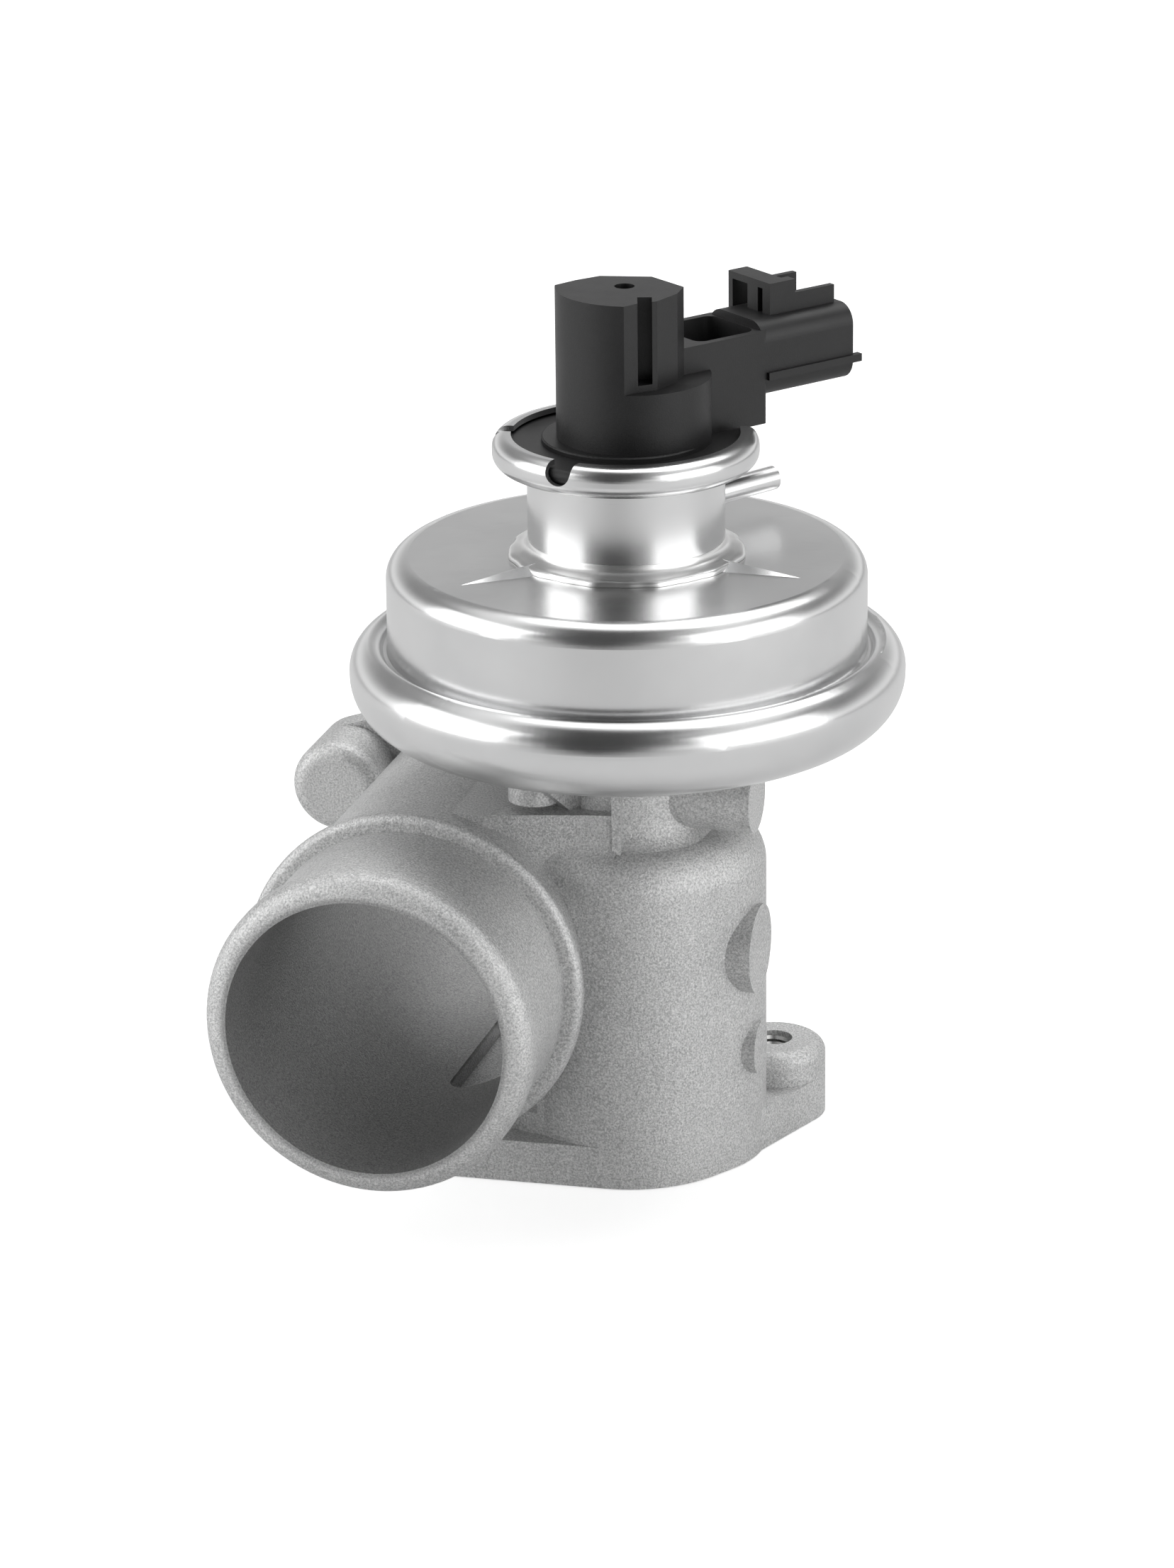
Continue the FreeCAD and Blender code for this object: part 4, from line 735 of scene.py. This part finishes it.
@dataclass(frozen=True)
class EarThread:
    """Thread in a tapped ear of the base: where it starts and how far it winds up."""

    name: str
    start: Place
    turns: int
    root_radius: float = 3.39 * MM
    crest_radius: float = 3.05 * MM
    pitch: float = 1.25 * MM
    foot_share: float = 0.98
    steps: int = 48
    sharp_angle: float = 25.0

    def build(self, material: bpy.types.Material) -> None:
        """Wind the ridge and set it in its ear.

        Args:
            material: Its finish.
        """
        ridge = [(self.root_radius, 0.0), (self.crest_radius, self.pitch / 2),
                 (self.root_radius, self.pitch * self.foot_share)]
        piece = Sculptor.winding(self.name, ridge, self.pitch, self.turns, self.steps)
        piece.location = self.start
        Sculptor.finish(piece, material, Slot.CASTING, self.sharp_angle)


@dataclass(frozen=True)
class CastFillet:
    """Fillet that carries the corner wall over to the valve column and its front rib, sizes in mm.

    It is a sheet that lies on the column and the wall and rounds the corner between them. It sinks into
    the casting at its left and lower edges, and its lid, the last rows, runs back over the top.
    """

    name: str = "cast_blend"
    left: float = -19.6
    right: float = 2.3
    bottom: float = 50.0
    top: float = 70.25
    columns: int = 44
    rows: int = 41
    lid_rows: int = 2
    lid_depth: float = 15.0
    lid_step: float = 2.0
    column_radius: float = 22.1
    neck_radius: float = 14.5
    shoulder_start: float = 55.5
    shoulder_rounding: float = 8.5
    shoulder_end: float = 62.98
    neck_fillet: float = 6.0
    neck_fillet_top: float = 68.25
    wall_edge: float = -2.7
    wall_depth: float = 17.0
    wall_slope: float = 0.254
    wall_inset: float = 0.4
    reach: float = 3.6
    skin: float = 0.06
    sink: float = 0.3
    left_fade: float = 2.5
    bottom_fade: float = 3.0
    sharp_angle: float = 60.0

    def build(self, material: bpy.types.Material) -> None:
        """Bend a grid to the fillet.

        Args:
            material: Its finish.
        """
        all_rows = self.rows + self.lid_rows
        bpy.ops.object.select_all(action="DESELECT")
        bpy.ops.mesh.primitive_grid_add(x_subdivisions=self.columns, y_subdivisions=all_rows, size=1.0)
        piece = bpy.context.active_object
        piece.name = self.name
        for vertex in piece.data.vertices:
            across = self.left + (self.right - self.left) * (vertex.co.x + 0.5)
            row = all_rows * (vertex.co.y + 0.5)
            height = self.bottom + (self.top - self.bottom) * min(row / self.rows, 1.0)
            depth = self.depth(across, height)
            if row > self.rows + 0.5:
                depth = self.lid_depth - self.lid_step * (row - self.rows - 1)
            vertex.co = (across * MM, -depth * MM, height * MM)
        Sculptor.finish(piece, material, Slot.CASTING, self.sharp_angle)

    def column(self, height: float) -> float:
        """Radius of the valve column with its shoulder and neck.

        Args:
            height: Height above the base.

        Returns:
            The radius.
        """
        if height < self.shoulder_start:
            return self.column_radius
        if height < self.shoulder_end:
            rise = height - self.shoulder_start
            core = self.column_radius - self.shoulder_rounding
            return core + math.sqrt(self.shoulder_rounding ** 2 - rise ** 2)
        if height < self.neck_fillet_top:
            drop = self.neck_fillet_top - height
            return self.neck_radius + self.neck_fillet - math.sqrt(self.neck_fillet ** 2 - drop ** 2)
        return self.neck_radius

    def depth(self, across: float, height: float) -> float:
        """Distance of the sheet in front of the valve's axis.

        Args:
            across: Place to the right of the axis.
            height: Height above the base.

        Returns:
            The distance.
        """
        trunk = math.sqrt(max(self.column(height) ** 2 - across ** 2, 0.0))
        wall = self.wall_depth - self.wall_slope * (across - self.wall_edge)
        cast = max(trunk, wall if across < self.wall_edge else wall - self.wall_inset)
        near = max(self.reach - abs(trunk - wall), 0.0)
        rounded = max(trunk, wall) + near ** 2 / (4 * self.reach) + self.skin
        left_share = min(1.0, (across - self.left) / self.left_fade)
        inside = left_share * min(1.0, (height - self.bottom) / self.bottom_fade)
        return inside * rounded + (1.0 - inside) * (cast - self.sink)


@dataclass
class ValveBody(SubAssembly):
    """Casting with its valve seat, stem, guide and seals."""

    fillet: CastFillet = CastFillet()
    threads: tuple[EarThread, ...] = (
        EarThread("ear_thread_right", (21.681 * MM, 22.188 * MM, 1.6 * MM), 9),
        EarThread("ear_thread_left", (-27.705 * MM, -13.957 * MM, 1.4 * MM), 5),
    )

    def build(self) -> None:
        """Dress the casting and the valve in it, then add the fillet and the threads."""
        looks = self.finishes
        self.dress({
            "valve_housing": looks.casting, "valve_seat": looks.seat, "valve_head": looks.stem,
            "valve_stem": looks.stem, "stem_guide": looks.bush, "deposit_shield": looks.plate,
            "stem_seal": looks.rubber, "seal_retainer": looks.plate, "outlet_seal": looks.rubber,
        })
        self.fillet.build(looks.casting)
        for thread in self.threads:
            thread.build(looks.cut_metal)


@dataclass(frozen=True)
class Wave:
    """Wave round an edge: its size in mm, the number of its crests and the angle that it starts at."""

    size: float
    crests: int
    start: float = 0.0


@dataclass
class VacuumActuator(SubAssembly):
    """Pan and can with the diaphragm, its plates and the return spring.

    The flare's profile, above the can's top, and its lumps are in mm.
    """

    can_top: float = 114.6 * MM
    flare_profile: tuple[Corner, ...] = (
        (17.60, 3.1), (17.71, 3.0), (17.80, 2.5), (18.02, 2.0), (18.45, 1.6), (19.1, 1.32), (19.9, 1.16),
        (20.6, 1.06), (20.95, 0.8), (21.08, 0.4), (21.05, 0.04), (17.60, 0.04))
    flare_steps: int = 192
    flare_sharp_angle: float = 40.0
    lumps: tuple[Wave, ...] = (Wave(0.16, 5, 1.3), Wave(0.16, 11, 0.4), Wave(0.1, 23))
    lumps_start: float = 18.0
    lumps_full: float = 21.0

    def build(self) -> None:
        """Dress the actuator and run the braze round the neck's foot."""
        looks = self.finishes
        self.flare()
        self.dress({
            "actuator_gasket": looks.gasket, "lower_shell": looks.pressed, "actuator_screws": looks.screw,
            "upper_shell": looks.pressed, "diaphragm": looks.rubber, "lower_plate": looks.plate,
            "upper_plate": looks.plate, "plate_washer": looks.plate, "stem_nut": looks.screw,
            "return_spring": looks.spring, "spring_seat": looks.inner_plastic, "sensor_cup": looks.pressed,
            "vacuum_pipe": looks.pressed,
        })

    def flare(self) -> None:
        """Braze that runs out on the can in a soft, slightly lumpy foot."""
        profile = [(radius * MM, self.can_top + height * MM) for radius, height in self.flare_profile]
        piece = Sculptor.lathe("neck_braze", profile, self.flare_steps)
        for vertex in piece.data.vertices:
            radius = math.hypot(vertex.co.x, vertex.co.y)
            grown = 1.0 + self.lump(radius / MM, math.atan2(vertex.co.y, vertex.co.x)) * MM / radius
            vertex.co.x *= grown
            vertex.co.y *= grown
        Sculptor.finish(piece, self.finishes.braze, Slot.STEEL, self.flare_sharp_angle)

    def lump(self, radius: float, angle: float) -> float:
        """How far the braze runs past its round, which is more towards its edge.

        Args:
            radius: Distance from the axis, in mm.
            angle: Angle about the axis.

        Returns:
            The distance, in mm.
        """
        share = (radius - self.lumps_start) / (self.lumps_full - self.lumps_start)
        rise = sum(wave.size * math.sin(wave.crests * angle + wave.start) for wave in self.lumps)
        return max(0.0, min(1.0, share)) * rise


@dataclass
class PositionSensor(SubAssembly):
    """Plastic sensor with its plunger, board and connector."""

    def build(self) -> None:
        """Dress the sensor."""
        looks = self.finishes
        self.dress({
            "sensor_body": looks.sensor, "connector_terminals": looks.contact, "sensor_seal": looks.rubber,
            "sensor_cover": looks.inner_plastic, "sensor_plunger": looks.inner_plastic,
            "plunger_spring": looks.spring, "wiper": looks.contact, "track_board": looks.board,
        })


@dataclass(frozen=True)
class Shade:
    """Dark part of the studio round the place where the photographer stands."""

    azimuth: float = math.radians(3.0)
    tone: Tone = grey(0.05)

    def mark(self, graph: NodeGraph, space: Space, width: Span, depth: Span) -> Socket:
        """Mark of the shade.

        Args:
            graph: Tree of the world or the floor.
            space: Coordinates that it follows.
            width: Where it fades to the sides.
            depth: Where it fades towards the valve.

        Returns:
            0 in the open and 1 in the shade.
        """
        across = (math.cos(self.azimuth), math.sin(self.azimuth), 0.0)
        front = (across[1], -across[0], 0.0)
        sideways = graph.vector(Step.ALONG, graph.coords(space), across).outputs["Value"]
        ahead = graph.vector(Step.ALONG, graph.coords(space), front).outputs["Value"]
        middle = graph.spread(graph.math(Step.ABSOLUTE, sideways), width, (1.0, 0.0), soft=True)
        return graph.math(Step.MULTIPLY, middle, graph.spread(ahead, depth, FULL, soft=True))


@dataclass(frozen=True)
class Floor:
    """Pale floor at the valve's lowest point, white to the camera and shaded by the valve."""

    size: float = 40.0
    drop: float = 0.2 * MM
    tone: Tone = grey(0.8)
    glow: float = 0.62
    far_glow: float = 1.0
    far: Span = (0.7, 1.8)
    mirrored_glow: float = 0.05
    shade_width: Span = (0.05, 0.45)
    shade_depth: Span = (0.32, 0.9)

    def build(self, shade: Shade) -> None:
        """Lay the floor.

        Args:
            shade: Dark part of the studio.
        """
        bpy.ops.object.select_all(action="DESELECT")
        bpy.ops.mesh.primitive_plane_add(size=self.size, location=(0, 0, -self.drop))
        plane = bpy.context.active_object
        plane.name = "studio_floor"
        material = bpy.data.materials.new("studio_floor")
        material.use_nodes = True
        graph = NodeGraph(material.node_tree)
        output = graph.nodes.new("ShaderNodeOutputMaterial")
        surface = graph.for_camera(self.seen(graph), self.unseen(graph, shade))
        graph.links.new(surface, output.inputs["Surface"])
        plane.data.materials.append(material)

    def seen(self, graph: NodeGraph) -> Socket:
        """Floor that the camera sees: its glow makes up for the lamps' fall-off far from the valve.

        Args:
            graph: Tree of the floor.

        Returns:
            The shader.
        """
        paint = graph.nodes.new("ShaderNodeBsdfDiffuse")
        paint.inputs["Color"].default_value = self.tone
        reach = graph.vector(Step.LENGTH, graph.coords(Space.OBJECT)).outputs["Value"]
        strength = graph.spread(reach, self.far, (self.glow, self.far_glow))
        return graph.added(paint.outputs["BSDF"], self.emitted(graph, strength))

    def unseen(self, graph: NodeGraph, shade: Shade) -> Socket:
        """Floor that the valve and its mirrored rays see, with painted shade: its paint is dark round the
        place where the photographer stands.

        Args:
            graph: Tree of the floor.
            shade: Dark part of the studio.

        Returns:
            The shader.
        """
        mark = shade.mark(graph, Space.OBJECT, self.shade_width, self.shade_depth)
        paint = graph.nodes.new("ShaderNodeBsdfDiffuse")
        # Painted shade: the paint turns near black inside the shade mark.
        graph.links.new(graph.blend(mark, self.tone, shade.tone), paint.inputs["Color"])
        unshaded = graph.spread(mark, FULL, (self.mirrored_glow, 0.0))
        strength = graph.math(Step.MULTIPLY, unshaded, graph.mirrored_rays())
        return graph.added(paint.outputs["BSDF"], self.emitted(graph, strength))

    def emitted(self, graph: NodeGraph, strength: Socket) -> Socket:
        """White glow.

        Args:
            graph: Tree of the floor.
            strength: Its strength.

        Returns:
            The shader.
        """
        glow = graph.nodes.new("ShaderNodeEmission")
        glow.inputs["Color"].default_value = grey(1.0)
        graph.links.new(strength, glow.inputs["Strength"])
        return glow.outputs["Emission"]


@dataclass(frozen=True)
class Room:
    """Plain world: white to the camera, and a studio room for the rest.

    The room is white up to a little above the horizon, grey above the backdrop, pale overhead, and dark
    round the place where the photographer stands. Its greys are pairs: the rise of a direction, which is 0
    at the horizon and 1 overhead, and the level there. The two ends come first.
    """

    light: float = 0.6
    greys: tuple[tuple[float, float], ...] = (
        (0.0, 0.95), (1.0, 1.0), (0.14, 0.9), (0.3, 0.48), (0.45, 0.24), (0.68, 0.3), (0.8, 0.95))
    shade_width: Span = (0.2, 0.62)
    shade_depth: Span = (0.0, 0.22)

    def build(self, shade: Shade) -> None:
        """Make the world.

        Args:
            shade: Dark part of the studio.
        """
        world = bpy.data.worlds.new("studio_world")
        bpy.context.scene.world = world
        world.use_nodes = True
        graph = NodeGraph(world.node_tree)
        output = graph.nodes.new("ShaderNodeOutputWorld")
        white = graph.nodes.new("ShaderNodeBackground")
        white.inputs["Color"].default_value = grey(1.0)
        room = graph.nodes.new("ShaderNodeBackground")
        mark = shade.mark(graph, Space.DIRECTION, self.shade_width, self.shade_depth)
        graph.links.new(graph.blend(mark, self.walls(graph), shade.tone), room.inputs["Color"])
        strength = graph.spread(graph.mirrored_rays(), FULL, (self.light, 1.0))
        graph.links.new(strength, room.inputs["Strength"])
        surface = graph.for_camera(white.outputs["Background"], room.outputs["Background"])
        graph.links.new(surface, output.inputs["Surface"])

    def walls(self, graph: NodeGraph) -> Socket:
        """Greys of the room, from the horizon up.

        Args:
            graph: Tree of the world.

        Returns:
            The colour.
        """
        split = graph.nodes.new("ShaderNodeSeparateXYZ")
        graph.links.new(graph.coords(Space.DIRECTION), split.inputs["Vector"])
        ramp = graph.nodes.new("ShaderNodeValToRGB")
        stops = ramp.color_ramp.elements
        for index, (rise, level) in enumerate(self.greys):
            stop = stops[index] if index < 2 else stops.new(rise)
            stop.position = rise
            stop.color = grey(level)
        graph.links.new(split.outputs["Z"], ramp.inputs["Fac"])
        return ramp.outputs["Color"]


@dataclass(frozen=True)
class SoftLamp:
    """Square soft lamp that looks at the valve: its side in metres and its power in watts."""

    name: str
    place: Place
    size: float
    power: float
    aim: Place = (0.0, 0.0, 80 * MM)

    def build(self) -> None:
        """Hang the lamp."""
        bpy.ops.object.light_add(type="AREA", location=self.place)
        lamp = bpy.context.active_object
        lamp.name = self.name
        lamp.data.size = self.size
        lamp.data.energy = self.power
        ahead = Vector(self.aim) - Vector(self.place)
        lamp.rotation_mode = "QUATERNION"
        lamp.rotation_quaternion = ahead.to_track_quat("-Z", "Y")


@dataclass(frozen=True)
class ViewCamera:
    """Camera at the view's angle, distance and lens, aimed at a point beside and above the origin."""

    azimuth: float = math.radians(16.03)
    elevation: float = math.radians(20.0)
    roll: float = math.radians(-0.61)
    distance: float = 1.06548
    aim_right: float = -7.51 * MM
    aim_height: float = 70.53 * MM
    lens: float = 135.0
    sensor: float = 36.0
    clip: Span = (0.05, 20.0)

    def build(self) -> None:
        """Set up the camera."""
        bpy.ops.object.camera_add()
        camera = bpy.context.active_object
        camera.name = "view_camera"
        sine, cosine = math.sin(self.azimuth), math.cos(self.azimuth)
        right = Vector((cosine, sine, 0.0))
        level = math.cos(self.elevation)
        ahead = Vector((-sine * level, cosine * level, -math.sin(self.elevation)))
        aim = right * self.aim_right + Vector((0.0, 0.0, self.aim_height))
        turn = Matrix((right, right.cross(ahead), -ahead)).transposed().to_4x4()
        place = Matrix.Translation(aim - ahead * self.distance)
        camera.matrix_world = place @ turn @ Matrix.Rotation(self.roll, 4, "Z")
        camera.data.lens = self.lens
        camera.data.sensor_width = self.sensor
        camera.data.clip_start, camera.data.clip_end = self.clip
        bpy.context.scene.camera = camera


@dataclass
class Studio:
    """Pale floor, plain world, soft lamps and the camera."""

    shade: Shade = Shade()
    floor: Floor = Floor()
    room: Room = Room()
    camera: ViewCamera = ViewCamera()
    lamps: tuple[SoftLamp, ...] = (
        SoftLamp("lamp_left", (-1.3, -0.65, 0.6), 1.5, 13.0),
        SoftLamp("lamp_right", (1.4, -0.4, 0.5), 1.5, 12.0),
        SoftLamp("lamp_top", (0.1, 0.6, 1.5), 1.3, 10.0),
    )

    def build(self) -> None:
        """Set up the studio."""
        self.floor.build(self.shade)
        self.room.build(self.shade)
        for lamp in self.lamps:
            lamp.build()
        self.camera.build()
        bpy.context.scene.view_settings.view_transform = "Standard"


def main() -> None:
    """Load the frame, dress and detail each sub-assembly, then set up the studio."""
    logging.basicConfig(level=logging.INFO, format="%(name)s: %(message)s")
    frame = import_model()
    finishes = FinishSet()
    for assembly in (ValveBody, VacuumActuator, PositionSensor):
        assembly(frame["nodes"], finishes).build()
    Studio().build()


if __name__ == "__main__":
    main()
